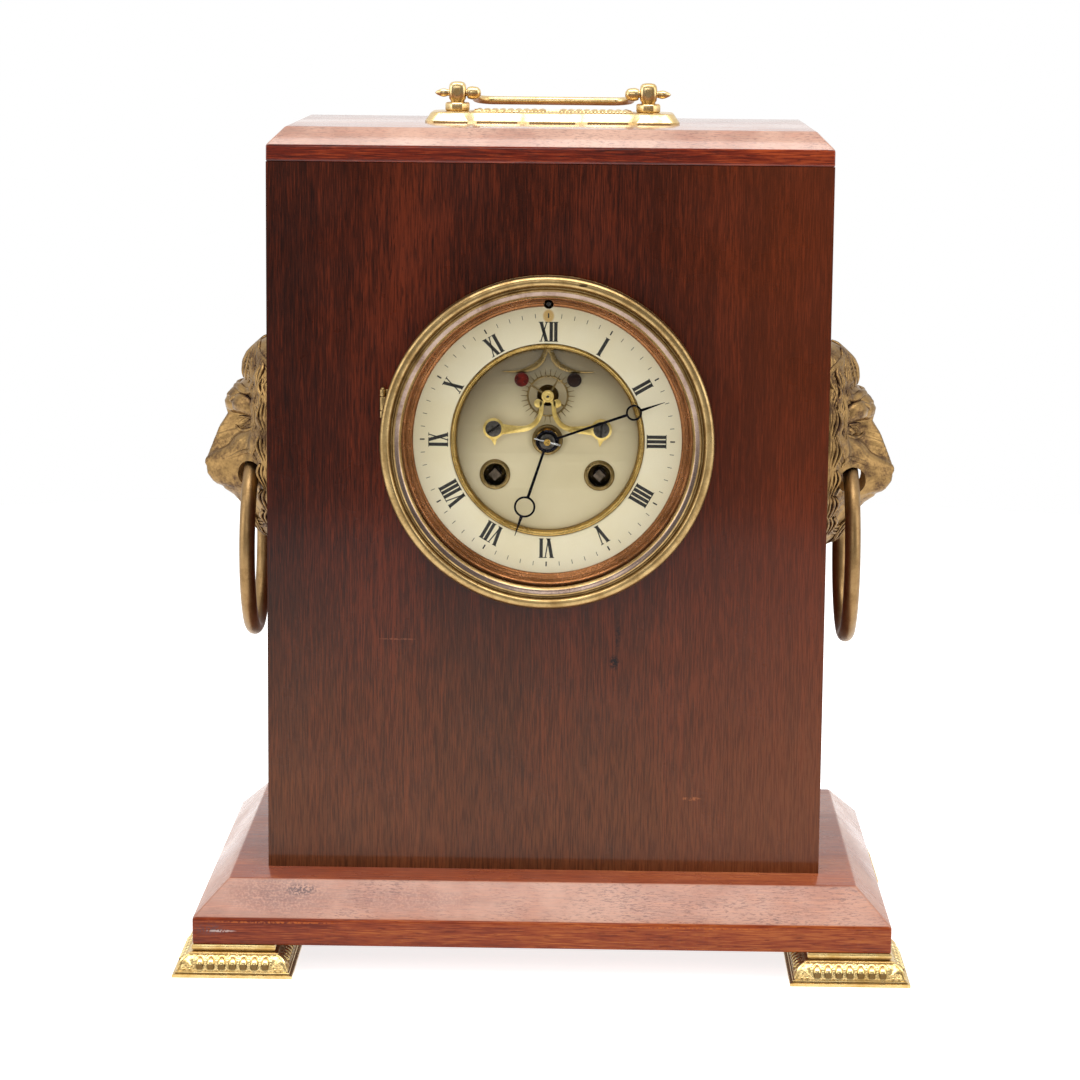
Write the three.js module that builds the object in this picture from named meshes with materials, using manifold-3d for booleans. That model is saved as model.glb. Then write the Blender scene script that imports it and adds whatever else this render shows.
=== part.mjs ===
// Bracket clock: mahogany case on four brass feet, lion masks with ring handles, a hinged
// carrying handle, a hinged glazed bezel and an eight-day movement with a visible escapement.
// Millimetres, +Z up, the dial faces -Y, X runs to the viewer's right, the feet stand on Z = 0.
import * as THREE from 'three';
import { mergeVertices } from 'three/addons/utils/BufferGeometryUtils.js';
import Module from 'manifold-3d';

const wasm = await Module();
wasm.setup();

// ---------------------------------------------------------------- driving dimensions
const SLIP = 0.3; // running clearance between fitted pieces
const FINE_SLIP = 0.12; // clearance of pivots and pins in their holes

// feet
const FOOT_HEIGHT = 13.1;
const FOOT_BASE = 53.4; // side of the square base
const FOOT_TOP = 36.9; // side of the square top plate
const FOOT_LIP = 1.5;
const FOOT_FASCIA = 2.9;

// plinth
const PLINTH_WIDTH = 311.4;
const PLINTH_DEPTH = 211.8;
const PLINTH_EDGE = 12.1; // upright part of the edge
const PLINTH_RISE = 14.8; // height of the chamfer
const PLINTH_RUN = 15.0; // width of the chamfer

// case
const CASE_WIDTH = 250;
const CASE_DEPTH = 145.4;
const CASE_HEIGHT = 319.1;
const FRONT_STEP = 35.5; // plinth edge to the case front
const FRONT_THICK = 9;
const REAR_THICK = 8;
const SIDE_THICK = 9;
const SLAB_EDGE = 7.3;
const SLAB_RISE = 7.9;
const SLAB_RUN = 8;

// lion masks and ring handles
const MASK_CENTRE_Z = 228; // height of the middle of the head
const MASK_UP = 49; // middle of the head to the top of the mane
const MASK_DOWN = 50; // middle of the head to the end of the beard
const MASK_HALF_WIDTH = 40;
const MASK_RIM = 3; // thickness of the mane's edge
const MANE_SWELL = 6;
const MASK_WALL = 3.2;
const RING_RADIUS = 40.5; // to the middle of the wire
const RING_WIRE = 7.3; // diameter of the wire
const RING_HOLE_HALF = 21; // mask middle to the hole in the cheek
const RING_PIVOT_Z = MASK_CENTRE_Z - 15.4; // height of the wire in the cheek holes
const RING_OUT_LEFT = 12.5; // case side to the hanging ring
const RING_OUT_RIGHT = 14.5;
const CHEEK_HOLE = 10.8; // diameter
const SPIGOT_RADIUS = 2.6;
const SPIGOT_DEPTH = 7; // length inside the side panel
const SPIGOTS = [[34, 16], [-38, 12]]; // height from the head's middle, reach inside the mask

// carrying handle
const PLATE_LENGTH = 116;
const PLATE_DEPTH = 33;
const PLATE_WAIST = 26; // depth between the lobes
const PLATE_THICK = 5;
const PLATE_BEVEL = 2.6;
const POST_HALF = PLATE_LENGTH / 2 - 14.2; // middle of the plate to a post
const POST_BASE = 11; // width of the octagonal foot
const POST_BASE_HEIGHT = 4;
const POST_HEAD = 8; // diameter of the head
const POST_TANG = 4.4; // diameter of the tang in the slab
const POST_TANG_DEPTH = 9; // length inside the slab
const BAIL_PIVOT = 8.2; // height of the pivots above the plate
const POST_CROWN = 5.2; // pivot to the top of a head
const BAIL_REACH = 27; // pivots to the far bar
const BAIL_HALF = POST_HALF - 7.8; // half the spread of the arms
const BAIL_WIRE = 3.8;
const BAIL_CORNER = 9;
const BAIL_PIN = 3.2; // diameter in the posts
const BAIL_TIP = 10.4; // post middle to the pointed end
const BAIL_DROOP = 9; // degrees below level at rest

// opening in the front, bezel and glass
const DIAL_Z = 236.7; // height of the dial's middle
const BEZEL_RADIUS = 74.2;
const BEZEL_PROUD = 12.4; // case front to the bezel's rim
const SEAT_RADIUS = 71.6;
const SEAT_THICK = 4;
const FRONT_HOLE = 65.3; // radius of the opening in the front panel
const SLEEVE_OUTER = 65.0;
const SLEEVE_INNER = 61.0;
const SIGHT_RADIUS = 59.8; // visible radius of the dial
const SIGHT_FRONT = 64.0; // front radius of the sloping sight ring
const GLASS_RADIUS = 66.6;
const GLASS_THICK = 1.8;
const GLASS_OPENING = 64.6;
const BEZEL_GROOVE = 69.0;
const HINGE_OUT = 73.0; // dial middle to the hinge axis
const HINGE_UP = 16.4; // hinge middle above the dial middle
const HINGE_KNUCKLE = 6; // length of the middle knuckle
const HINGE_RADIUS = 1.4;
const HINGE_PIN = 0.6; // radius
const HINGE_END = 3; // length of an outer knuckle

// dial
const DIAL_SINK = 0.9; // case front to the face of the hour ring
const HOUR_RING_THICK = 1.5;
const HOUR_RING_INNER = 43.3;
const HOUR_RING_OUTER = 60.8;
const BRASS_RING_OUTER = 43.1;
const BRASS_RING_INNER = 40.6;
const BRASS_RING_PROUD = 0.5;
const DIAL_PLATE_THICK = 1.6;
const CENTRE_SINK = 2.9; // face of the hour ring to the sunk centre
const CENTRE_THICK = 1.0;
const LEDGE_INNER = 38;
const LEDGE_THICK = 1.2;
const GROMMET_OUTER = 6.9;
const GROMMET_HOLE = 5.0;
const GROMMET_TUBE = 5.5;
const GROMMET_FLANGE = 0.6;
const ESCAPE_HOLE = 4.8;
const REGULATOR_Z = 60.9; // dial middle to the regulating square
const REGULATOR_HOLE = 2.2;
const REGULATOR_ROD = 1.1;

// places in the movement, from the dial's middle: across and up
const WIND_X = 23.3;
const WIND_Z = -15.9;
const ESCAPE_Z = 19.9;
const PALLET_PIVOT_Z = 42.6;
const PALLET_X = 11.7;
const PALLET_Z = 27.2;
const BRIDGE_SCREW_X = 24;
const BRIDGE_SCREW_Z = 5.2;
const SCREW_SHANK = 1.2; // radius
const SCREW_HEAD = 3.6; // radius
const SUSPENSION_Z = 52;
const COCK_THICK = 2.2;
const COCK_HALF = 12; // half the width of the suspension cock
const COCK_GAP = 5; // half the gap between its legs
const COCK_LEG = 14; // length of a leg
const COCK_ARM = 3.2; // half the width of its arm
const CRUTCH_LENGTH = 30;
const SPRING_LENGTH = 10; // suspension to the brass chop
const CHOP_LENGTH = 7;
const PENDULUM_ROD = 1.2; // radius
const BOB_RADIUS = 19;
const PENDULUM_LENGTH = 159; // suspension to the middle of the bob

// movement frame
const MOTION_SPACE = 6.6; // dial ledge to the front plate
const MOVEMENT_PLATE = 46; // radius
const MOVEMENT_PLATE_THICK = 2.2;
const PLATE_SPACING = 36;
const PILLAR_RADIUS = 3.2;
const PILLARS = [[-34, 27], [34, 27], [-16, -40], [16, -40]];
const DIAL_FEET = [[-38, 12], [38, 12], [0, -41]];
const DIAL_FOOT_RADIUS = 1.6;
const ARBOR = 1.5; // radius of the heavy arbors
const FINE_ARBOR = 0.9; // radius of the light arbors

// trains: teeth and modules
const BARREL_TEETH = 48;
const BARREL_MODULE = 0.74;
const SECOND_PINION = 8;
const SECOND_TEETH = 42;
const SECOND_MODULE = 0.8;
const CENTRE_PINION = 6;
const CENTRE_TEETH = 72;
const CENTRE_MODULE = 0.5;
const THIRD_PINION = 6;
const THIRD_TEETH = 75;
const THIRD_MODULE = 0.46;
const ESCAPE_PINION = 6;
const ESCAPE_TEETH = 30;
const ESCAPE_TIP = 12.0; // radius over the escape teeth
const ESCAPE_ROOT = 9.3;
const MINUTE_TEETH = 24;
const CANNON_LEAVES = 8;
const CANNON_MODULE = 0.75;
const HOUR_TEETH = 32;
const HOUR_LEAVES = 8;
const HOUR_MODULE = 0.6;
const PIN_WHEEL_TEETH = 36;
const PIN_WHEEL_MODULE = 0.66;
const PIN_WHEEL_TURN = 1.344; // direction from the strike barrel, radians above +X
const LIFTING_PINS = 8;
const LIFTING_PINS_AT = 9.4; // radius
const WHEEL_THICK = 1.4;
const DRUM_RADIUS = 15.6;
const WIND_ARBOR = 2.2; // radius
const WIND_SQUARE = 4; // side of the winding square

// hands
const MINUTE_LENGTH = 55;
const MINUTE_ANGLE = 70.7; // degrees clockwise from twelve
const MINUTE_RING_AT = 40.6;
const MINUTE_RING = 3.6;
const HOUR_LENGTH = 45;
const HOUR_ANGLE = 198.3;
const HOUR_RING_AT = 31.2;
const HOUR_RING = 4.8;
const HAND_THICK = 0.5;
const HAND_PIN_ANGLE = 14; // slope of the taper pin, degrees

// bell, back opening
const BELL_RADIUS = 34;
const BELL_DEPTH = 17;
const BELL_WALL = 1.6;
const BELL_Z = -4; // from the dial's middle
const REAR_HOLE = 56.3; // radius of the opening in the rear panel
const REAR_RING_RADIUS = 61;
const REAR_RING_INNER = 52;
const REAR_RING_THICK = 3;
const REAR_DOOR_RADIUS = 58;
const REAR_DOOR_THICK = 1.8;
const SLEEVE_WALL = 2.8; // wall of the sleeve behind the rear ring
const KNOB_INSET = 10; // rim of the rear door to its knob
const STRAP_X = 54.4;
const STRAP_WIDTH = 9;
const STRAP_THICK = 1.6;
const HAMMER_PIVOT = [-34, 12];
const HAMMER_HEAD = [-37.8, -8];

// ---------------------------------------------------------------- derived levels
const FINE_STEPS = 32; // steps round the large turned pieces
const STEPS = 24;
const SMALL_STEPS = 10;
const HOLE_STEPS = 10;
const GROMMET_STEPS = 16;
const RIGHT = Math.PI / 2;

const PLINTH_TOP = FOOT_HEIGHT + PLINTH_EDGE + PLINTH_RISE;
const CASE_TOP = PLINTH_TOP + CASE_HEIGHT;
const SLAB_TOP = CASE_TOP + SLAB_EDGE + SLAB_RISE;
const PLATE_TOP = SLAB_TOP + PLATE_THICK;
const CASE_FRONT = -PLINTH_DEPTH / 2 + FRONT_STEP;
const CASE_BACK = CASE_FRONT + CASE_DEPTH;
const CASE_MIDDLE = (CASE_FRONT + CASE_BACK) / 2;
const HALF_CASE = CASE_WIDTH / 2;

const SEAT_FRONT = CASE_FRONT - SEAT_THICK;
const BEZEL_FRONT = CASE_FRONT - BEZEL_PROUD;
const BEZEL_BACK = SEAT_FRONT - SLIP;
const DIAL_FACE = CASE_FRONT + DIAL_SINK;
const DIAL_PLATE_FRONT = DIAL_FACE + HOUR_RING_THICK;
const DIAL_PLATE_BACK = DIAL_PLATE_FRONT + DIAL_PLATE_THICK;
const CENTRE_FACE = DIAL_FACE + CENTRE_SINK;
const LEDGE_FRONT = CENTRE_FACE + CENTRE_THICK;
const LEDGE_BACK = LEDGE_FRONT + LEDGE_THICK;
const FRONT_PLATE_FACE = LEDGE_BACK + MOTION_SPACE;
const TRAIN_FRONT = FRONT_PLATE_FACE + MOVEMENT_PLATE_THICK;
const TRAIN_BACK = TRAIN_FRONT + PLATE_SPACING;
const BACK_PLATE_FACE = TRAIN_BACK + MOVEMENT_PLATE_THICK;
const PENDULUM_Y = BACK_PLATE_FACE + 10;
const BELL_MOUTH = PENDULUM_Y + 9;

// layers of the escapement, from the sunk centre towards the glass
const ANCHOR_BACK = CENTRE_FACE - 0.5;
const ANCHOR_FRONT = ANCHOR_BACK - 0.8;
const WHEEL_BACK = ANCHOR_FRONT - 0.5;
const WHEEL_FRONT = WHEEL_BACK - 0.6;
const PALLET_BACK = WHEEL_FRONT - SLIP;
const PALLET_FRONT = PALLET_BACK - 0.9;
const BRIDGE_BACK = WHEEL_FRONT - 0.8;
const BRIDGE_FRONT = BRIDGE_BACK - 0.9;
const HOUR_HAND_BACK = BRIDGE_FRONT - 1.1;
const MINUTE_HAND_BACK = HOUR_HAND_BACK - 1.5;
const WASHER_BACK = MINUTE_HAND_BACK - HAND_THICK;
const HAND_PIN_Y = WASHER_BACK - 1.5;

// ---------------------------------------------------------------- geometry helpers
const WELD = 1e-4;

function signedVolume(geometry) {
  const at = geometry.getAttribute('position');
  const index = geometry.index.array;
  const corners = [new THREE.Vector3(), new THREE.Vector3(), new THREE.Vector3()];
  let sum = 0;
  for (let i = 0; i < index.length; i += 3) {
    corners.forEach((corner, k) => corner.fromBufferAttribute(at, index[i + k]));
    sum += corners[0].dot(corners[1].clone().cross(corners[2]));
  }
  return sum / 6;
}

// One closed skin with shared corners and its faces turned outwards.
function weld(source) {
  const bare = new THREE.BufferGeometry();
  bare.setAttribute('position', source.getAttribute('position').clone());
  if (source.index) bare.setIndex(source.index.clone());
  const merged = mergeVertices(bare, WELD);
  const index = merged.index.array;
  const kept = [];
  for (let i = 0; i < index.length; i += 3) {
    const [a, b, c] = [index[i], index[i + 1], index[i + 2]];
    if (a !== b && b !== c && c !== a) kept.push(a, b, c);
  }
  merged.setIndex(kept);
  if (signedVolume(merged) < 0) merged.setIndex(kept.reverse());
  merged.computeVertexNormals();
  return merged;
}

function toSolid(geometry) {
  const welded = weld(geometry);
  return new wasm.Manifold(new wasm.Mesh({
    numProp: 3,
    vertProperties: new Float32Array(welded.getAttribute('position').array),
    triVerts: new Uint32Array(welded.index.array),
  }));
}

function fromSolid(solid) {
  const mesh = solid.getMesh();
  const geometry = new THREE.BufferGeometry();
  geometry.setAttribute('position', new THREE.BufferAttribute(new Float32Array(mesh.vertProperties), 3));
  geometry.setIndex(Array.from(mesh.triVerts));
  geometry.computeVertexNormals();
  return geometry;
}

function join(first, ...others) {
  return fromSolid(others.reduce((sum, other) => sum.add(toSolid(other)), toSolid(first)));
}

function cut(first, ...others) {
  return fromSolid(others.reduce((rest, other) => rest.subtract(toSolid(other)), toSolid(first)));
}

// Solid of revolution about the Y axis through (x, z); the profile lists [radius, y] and closes itself.
function turned(profile, x = 0, z = 0, steps = STEPS) {
  const points = [...profile, profile[0]].map(([r, y]) => new THREE.Vector2(r, y));
  return weld(new THREE.LatheGeometry(points, steps)).translate(x, 0, z);
}

function rodY(radius, front, back, x, z, steps = SMALL_STEPS) {
  return turned([[0, front], [radius, front], [radius, back], [0, back]], x, z, steps);
}

function rodX(radius, left, right, y, z, steps = SMALL_STEPS) {
  return rodY(radius, -right, -left, 0, 0, steps).rotateZ(RIGHT).translate(0, y, z);
}

function rodZ(radius, bottom, top, x, y, steps = SMALL_STEPS) {
  return rodY(radius, -top, -bottom, 0, 0, steps).rotateX(-RIGHT).translate(x, y, 0);
}

function box(left, right, front, back, bottom, top) {
  return new THREE.BoxGeometry(right - left, back - front, top - bottom)
    .translate((left + right) / 2, (front + back) / 2, (bottom + top) / 2);
}

// A flat piece that stands parallel to the dial; the shape is drawn as (x, z).
function sheet(shape, front, back, curveSegments = 5) {
  const depth = back - front;
  return weld(new THREE.ExtrudeGeometry(shape, { depth, bevelEnabled: false, curveSegments }))
    .rotateX(RIGHT)
    .translate(0, back, 0);
}

function circlePoints(x, z, radius, steps) {
  return Array.from({ length: steps }, (_, i) => {
    const turn = 2 * Math.PI * i / steps;
    return new THREE.Vector2(x + radius * Math.cos(turn), z + radius * Math.sin(turn));
  });
}

function circleHole(x, z, radius, steps = HOLE_STEPS) {
  return new THREE.Path(circlePoints(x, z, radius, steps));
}

function disc(radius, holes = [], steps = STEPS) {
  const shape = new THREE.Shape(circlePoints(0, 0, radius, steps));
  shape.holes = holes.map(([x, z, r, count]) => circleHole(x, z, r, count));
  return shape;
}

function polygon(points) {
  return new THREE.Shape(points.map(([x, z]) => new THREE.Vector2(x, z)));
}

// A flat band along a smooth line; each stop is [x, z, width].
function ribbon(stops, steps = 9) {
  const line = new THREE.CatmullRomCurve3(stops.map(([x, z, w]) => new THREE.Vector3(x, z, w)));
  const left = [];
  const right = [];
  for (let i = 0; i <= steps; i += 1) {
    const at = line.getPoint(i / steps);
    const along = line.getTangent(i / steps);
    const across = new THREE.Vector2(-along.y, along.x).normalize().multiplyScalar(at.z / 2);
    left.push([at.x + across.x, at.y + across.y]);
    right.unshift([at.x - across.x, at.y - across.y]);
  }
  return polygon([...left, ...right]);
}

// Skin over a stack of closed loops with the same number of points, flat at both ends.
function loft(loops) {
  const count = loops[0].length;
  const points = loops.flat().map(([x, y, z]) => new THREE.Vector3(x, y, z));
  const faces = [];
  for (let level = 0; level < loops.length - 1; level += 1) {
    for (let i = 0; i < count; i += 1) {
      const a = level * count + i;
      const b = level * count + (i + 1) % count;
      faces.push(a, b, b + count, a, b + count, a + count);
    }
  }
  const cap = THREE.ShapeUtils.triangulateShape(loops[0].map(([x, y]) => new THREE.Vector2(x, y)), []);
  const last = (loops.length - 1) * count;
  cap.forEach(([a, b, c]) => faces.push(b, a, c, last + a, last + b, last + c));
  const geometry = new THREE.BufferGeometry().setFromPoints(points);
  geometry.setIndex(faces);
  return weld(geometry);
}

function rectangle(halfX, halfY, z, x = 0, y = 0) {
  return [
    [x - halfX, y - halfY, z], [x + halfX, y - halfY, z],
    [x + halfX, y + halfY, z], [x - halfX, y + halfY, z],
  ];
}

// Round wire along a smooth path.
function wire(path, radius, steps, sides = 6) {
  const section = new THREE.Shape();
  for (let i = 0; i < sides; i += 1) {
    const turn = 2 * Math.PI * i / sides;
    const point = [radius * Math.cos(turn), radius * Math.sin(turn)];
    if (i === 0) section.moveTo(...point);
    else section.lineTo(...point);
  }
  return weld(new THREE.ExtrudeGeometry(section, { steps, extrudePath: path, bevelEnabled: false }));
}

// ---------------------------------------------------------------- materials
const clock = new THREE.Group();
clock.name = 'bracket_clock';

const finishes = {
  mahogany: { color: '#5a2315', roughness: 0.28, metalness: 0 },
  mahoganyRed: { color: '#7d3019', roughness: 0.3, metalness: 0 },
  polishedBrass: { color: '#d9a94e', roughness: 0.22, metalness: 1 },
  agedBrass: { color: '#8d7440', roughness: 0.45, metalness: 1 },
  ringBrass: { color: '#7a5f37', roughness: 0.34, metalness: 1 },
  bezelBrass: { color: '#a07c3c', roughness: 0.28, metalness: 1 },
  copperBrass: { color: '#b3785a', roughness: 0.25, metalness: 1 },
  movementBrass: { color: '#c8a050', roughness: 0.3, metalness: 1 },
  blueSteel: { color: '#1b1d28', roughness: 0.3, metalness: 1 },
  steel: { color: '#8f9094', roughness: 0.3, metalness: 1 },
  enamel: { color: '#efe7cd', roughness: 0.18, metalness: 0 },
  enamelCentre: { color: '#d8cfae', roughness: 0.22, metalness: 0 },
  bellMetal: { color: '#b9ab86', roughness: 0.28, metalness: 1 },
  jewelRed: { color: '#7c1a10', roughness: 0.15, metalness: 0 },
  jewelBrown: { color: '#2f1710', roughness: 0.15, metalness: 0 },
};

function piece(name, finish, geometry) {
  const mesh = new THREE.Mesh(geometry, new THREE.MeshStandardMaterial(finishes[finish]));
  mesh.name = name;
  clock.add(mesh);
  return mesh;
}

function glassPiece(name, geometry) {
  const clear = { color: '#eef3f2', roughness: 0.04, metalness: 0, transparent: true, opacity: 0.25 };
  const mesh = new THREE.Mesh(geometry, new THREE.MeshStandardMaterial(clear));
  mesh.name = name;
  clock.add(mesh);
}

// ---------------------------------------------------------------- case
function buildFoot(name, sideX, sideY) {
  const half = FOOT_BASE / 2;
  const top = FOOT_TOP / 2;
  const neck = FOOT_HEIGHT - FOOT_FASCIA;
  const flare = half - top - 1.6;
  const loops = [[half, 0], [half, FOOT_LIP]];
  const stages = 4;
  for (let i = 0; i <= stages; i += 1) {
    const turn = i / stages * RIGHT;
    const rise = (neck - FOOT_LIP - 1.2) * Math.sin(turn);
    loops.push([half - 0.6 - flare * (1 - Math.cos(turn)), FOOT_LIP + 0.4 + rise]);
  }
  loops.push([top - 0.4, neck], [top, neck + 0.2], [top, FOOT_HEIGHT]);
  const x = sideX * (PLINTH_WIDTH / 2 - top);
  const y = sideY * (PLINTH_DEPTH / 2 - top);
  piece(name, 'polishedBrass', loft(loops.map(([size, z]) => rectangle(size, size, z, x, y))));
}

function buildPlinth() {
  const [x, y] = [PLINTH_WIDTH / 2, PLINTH_DEPTH / 2];
  const edge = FOOT_HEIGHT + PLINTH_EDGE;
  piece('plinth', 'mahoganyRed', loft([
    rectangle(x, y, FOOT_HEIGHT),
    rectangle(x, y, edge),
    rectangle(x - PLINTH_RUN, y - PLINTH_RUN, PLINTH_TOP),
  ]));
}

function panelShape(holeRadius) {
  const shape = polygon([
    [-HALF_CASE, PLINTH_TOP], [HALF_CASE, PLINTH_TOP], [HALF_CASE, CASE_TOP], [-HALF_CASE, CASE_TOP],
  ]);
  shape.holes = [circleHole(0, DIAL_Z, holeRadius, FINE_STEPS)];
  return shape;
}

function buildPanels() {
  piece('front_panel', 'mahogany',
    sheet(panelShape(FRONT_HOLE), CASE_FRONT, CASE_FRONT + FRONT_THICK));
  piece('rear_panel', 'mahogany',
    sheet(panelShape(REAR_HOLE), CASE_BACK - REAR_THICK, CASE_BACK));
  for (const [name, side] of [['left_side_panel', -1], ['right_side_panel', 1]]) {
    const outer = side * HALF_CASE;
    const inner = side * (HALF_CASE - SIDE_THICK);
    const [left, right] = [Math.min(outer, inner), Math.max(outer, inner)];
    const board = box(left, right, CASE_FRONT + FRONT_THICK, CASE_BACK - REAR_THICK, PLINTH_TOP, CASE_TOP);
    const bore = side * (HALF_CASE - SPIGOT_DEPTH - SLIP);
    const mouth = side * (HALF_CASE + 1);
    const holes = SPIGOTS.map(([z]) => rodX(SPIGOT_RADIUS + SLIP,
      Math.min(bore, mouth), Math.max(bore, mouth), CASE_MIDDLE, MASK_CENTRE_Z + z));
    piece(name, 'mahogany', cut(board, ...holes));
  }
}

// Holes for the tangs of the two handle posts.
function tangHoles(bottom, top) {
  const radius = POST_TANG / 2 + SLIP;
  return [-POST_HALF, POST_HALF].map((x) => rodZ(radius, bottom, top, x, CASE_MIDDLE));
}

function buildSlab() {
  const x = HALF_CASE;
  const y = CASE_DEPTH / 2;
  const body = loft([
    rectangle(x, y, CASE_TOP, 0, CASE_MIDDLE),
    rectangle(x, y, CASE_TOP + SLAB_EDGE, 0, CASE_MIDDLE),
    rectangle(x - SLAB_RUN, y - SLAB_RUN, SLAB_TOP, 0, CASE_MIDDLE),
  ]);
  const bottom = SLAB_TOP - POST_TANG_DEPTH - SLIP;
  const holes = tangHoles(bottom, SLAB_TOP + 1);
  piece('top_slab', 'mahoganyRed', cut(body, ...holes));
}

// ---------------------------------------------------------------- lion masks and ring handles
// Projection of the lion's profile from the case side, listed as [height, reach], and half the
// width of its face, listed as [height, half width]. Heights count from the middle of the head.
const LION_PROFILE = [
  [-49, 5], [-40, 11], [-32, 19], [-25, 26.5], [-19, 31.5], [-11, 36], [-4, 33], [5, 29],
  [11, 26], [16, 26], [22, 22.5], [28, 18], [33, 19.3], [40, 16.5], [45, 10.5], [50, 5],
];
const LION_FACE = [
  [-49, 9], [-38, 12], [-28, 17], [-21, 21], [-15, 22.5], [-6, 22], [4, 25], [17, 29], [34, 27], [50, 16],
];

function readTable(table, at) {
  const next = table.findIndex(([z]) => z >= at);
  if (next === 0) return table[0][1];
  if (next < 0) return table[table.length - 1][1];
  const [[z0, v0], [z1, v1]] = [table[next - 1], table[next]];
  return v0 + (v1 - v0) * (at - z0) / (z1 - z0);
}

function lionHeight(across, z, spread) {
  const height = z - MASK_CENTRE_Z;
  const face = Math.abs(across) / readTable(LION_FACE, height);
  const fall = 1 - THREE.MathUtils.smoothstep(face, 0.45, 1.25);
  const mane = MASK_RIM + MANE_SWELL * Math.sqrt(Math.max(0, 1 - spread * spread));
  return Math.max(mane, readTable(LION_PROFILE, height) * fall);
}

// A domed solid over an oval outline; the reach gives its height above the case side.
function dome(scale, base, turns, rows, reach) {
  const points = [];
  const faces = [];
  const oval = (turn, spread) => {
    const rise = Math.sin(turn);
    const narrow = rise < 0 ? 1 - 0.42 * rise * rise : 1 - 0.16 * rise * rise;
    const across = MASK_HALF_WIDTH * scale * spread * Math.cos(turn) * narrow;
    return [across, MASK_CENTRE_Z + (rise > 0 ? MASK_UP : MASK_DOWN) * scale * spread * rise];
  };
  for (let row = 0; row < rows; row += 1) {
    const spread = 1 - row / rows;
    for (let i = 0; i < turns; i += 1) {
      const [across, z] = oval(2 * Math.PI * i / turns, spread);
      points.push([across, z, reach(across, z, spread)]);
    }
  }
  points.push([0, MASK_CENTRE_Z, reach(0, MASK_CENTRE_Z, 0)]);
  const centre = points.length - 1;
  for (let i = 0; i < turns; i += 1) {
    const [across, z] = oval(2 * Math.PI * i / turns, 1);
    points.push([across, z, base]);
  }
  points.push([0, MASK_CENTRE_Z, base]);
  const back = points.length - 1;
  for (let i = 0; i < turns; i += 1) {
    const next = (i + 1) % turns;
    for (let row = 0; row < rows - 1; row += 1) {
      const [a, b] = [row * turns + i, row * turns + next];
      faces.push(a, b, b + turns, a, b + turns, a + turns);
    }
    faces.push((rows - 1) * turns + i, (rows - 1) * turns + next, centre);
    const [c, d] = [centre + 1 + i, centre + 1 + next];
    faces.push(i, c, d, i, d, next, c, back, d);
  }
  const geometry = new THREE.BufferGeometry();
  geometry.setFromPoints(points.map(([across, z, out]) => new THREE.Vector3(out, across, z)));
  geometry.setIndex(faces);
  return weld(geometry);
}

// Room in which the ring swings: a spindle about the axis through the two cheek holes.
function ringRoom(out) {
  const lift = Math.sqrt(RING_RADIUS ** 2 - RING_HOLE_HALF ** 2);
  const reach = MASK_HALF_WIDTH + 6;
  const hole = CHEEK_HOLE / 2;
  const bulge = (y) => Math.sqrt(RING_RADIUS ** 2 - y ** 2) - lift + RING_WIRE / 2 + 0.6;
  const stops = 3;
  const profile = [[0, -reach], [hole, -reach]];
  for (let i = -stops; i <= stops; i += 1) {
    const y = i / stops * (RING_HOLE_HALF - 4);
    profile.push([Math.max(hole, bulge(y)), y]);
  }
  profile.push([hole, reach], [0, reach]);
  return turned(profile, out, RING_PIVOT_Z, 10);
}

function buildMask(name, side, ringOut) {
  const skin = dome(1, 0, 24, 7, lionHeight);
  const hollow = dome(0.86, -2, 16, 4, (across, z, spread) => {
    const deep = lionHeight(across / 0.86, MASK_CENTRE_Z + (z - MASK_CENTRE_Z) / 0.93, spread);
    return Math.max(0.6, deep - MASK_WALL - 1.2);
  });
  const spigots = SPIGOTS.map(([z, reach]) => (
    rodX(SPIGOT_RADIUS, -SPIGOT_DEPTH, reach, 0, MASK_CENTRE_Z + z)));
  const shell = cut(skin, hollow);
  const geometry = cut(join(shell, ...spigots), ringRoom(ringOut));
  if (side < 0) geometry.rotateZ(Math.PI);
  geometry.translate(side * HALF_CASE, CASE_MIDDLE, 0);
  piece(name, 'agedBrass', weld(geometry));
}

function buildRing(name, side, ringOut) {
  const lift = Math.sqrt(RING_RADIUS ** 2 - RING_HOLE_HALF ** 2);
  const ring = new THREE.TorusGeometry(RING_RADIUS, RING_WIRE / 2, 8, 28).rotateY(RIGHT);
  ring.translate(side * (HALF_CASE + ringOut), CASE_MIDDLE, RING_PIVOT_Z - lift);
  piece(name, 'ringBrass', weld(ring));
}

// ---------------------------------------------------------------- carrying handle
function plateLoop(inset, z) {
  const [length, lobe, waist] = [PLATE_LENGTH / 2 - inset, PLATE_DEPTH / 2 - inset, PLATE_WAIST / 2 - inset];
  const quarter = [
    [length, 0], [length, lobe - 4], [length - 4, lobe], [36 + inset, lobe], [33, waist + 1],
    [30, waist], [19, waist], [15, waist + 1], [12 - inset, lobe],
  ];
  const right = quarter.map(([x, y]) => [x, y]);
  const left = quarter.slice().reverse().map(([x, y]) => [-x, y]);
  const upper = [...right, ...left];
  const lower = upper.slice(1, -1).reverse().map(([x, y]) => [x, -y]);
  return [...upper, ...lower].map(([x, y]) => [x, CASE_MIDDLE + y, z]);
}

function buildHandlePlate() {
  const body = loft([
    plateLoop(0, SLAB_TOP), plateLoop(0, SLAB_TOP + 1),
    plateLoop(PLATE_BEVEL, PLATE_TOP - 0.6), plateLoop(PLATE_BEVEL + 0.6, PLATE_TOP),
  ]);
  const holes = tangHoles(SLAB_TOP - 1, PLATE_TOP + 1);
  piece('handle_plate', 'polishedBrass', cut(body, ...holes));
}

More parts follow.
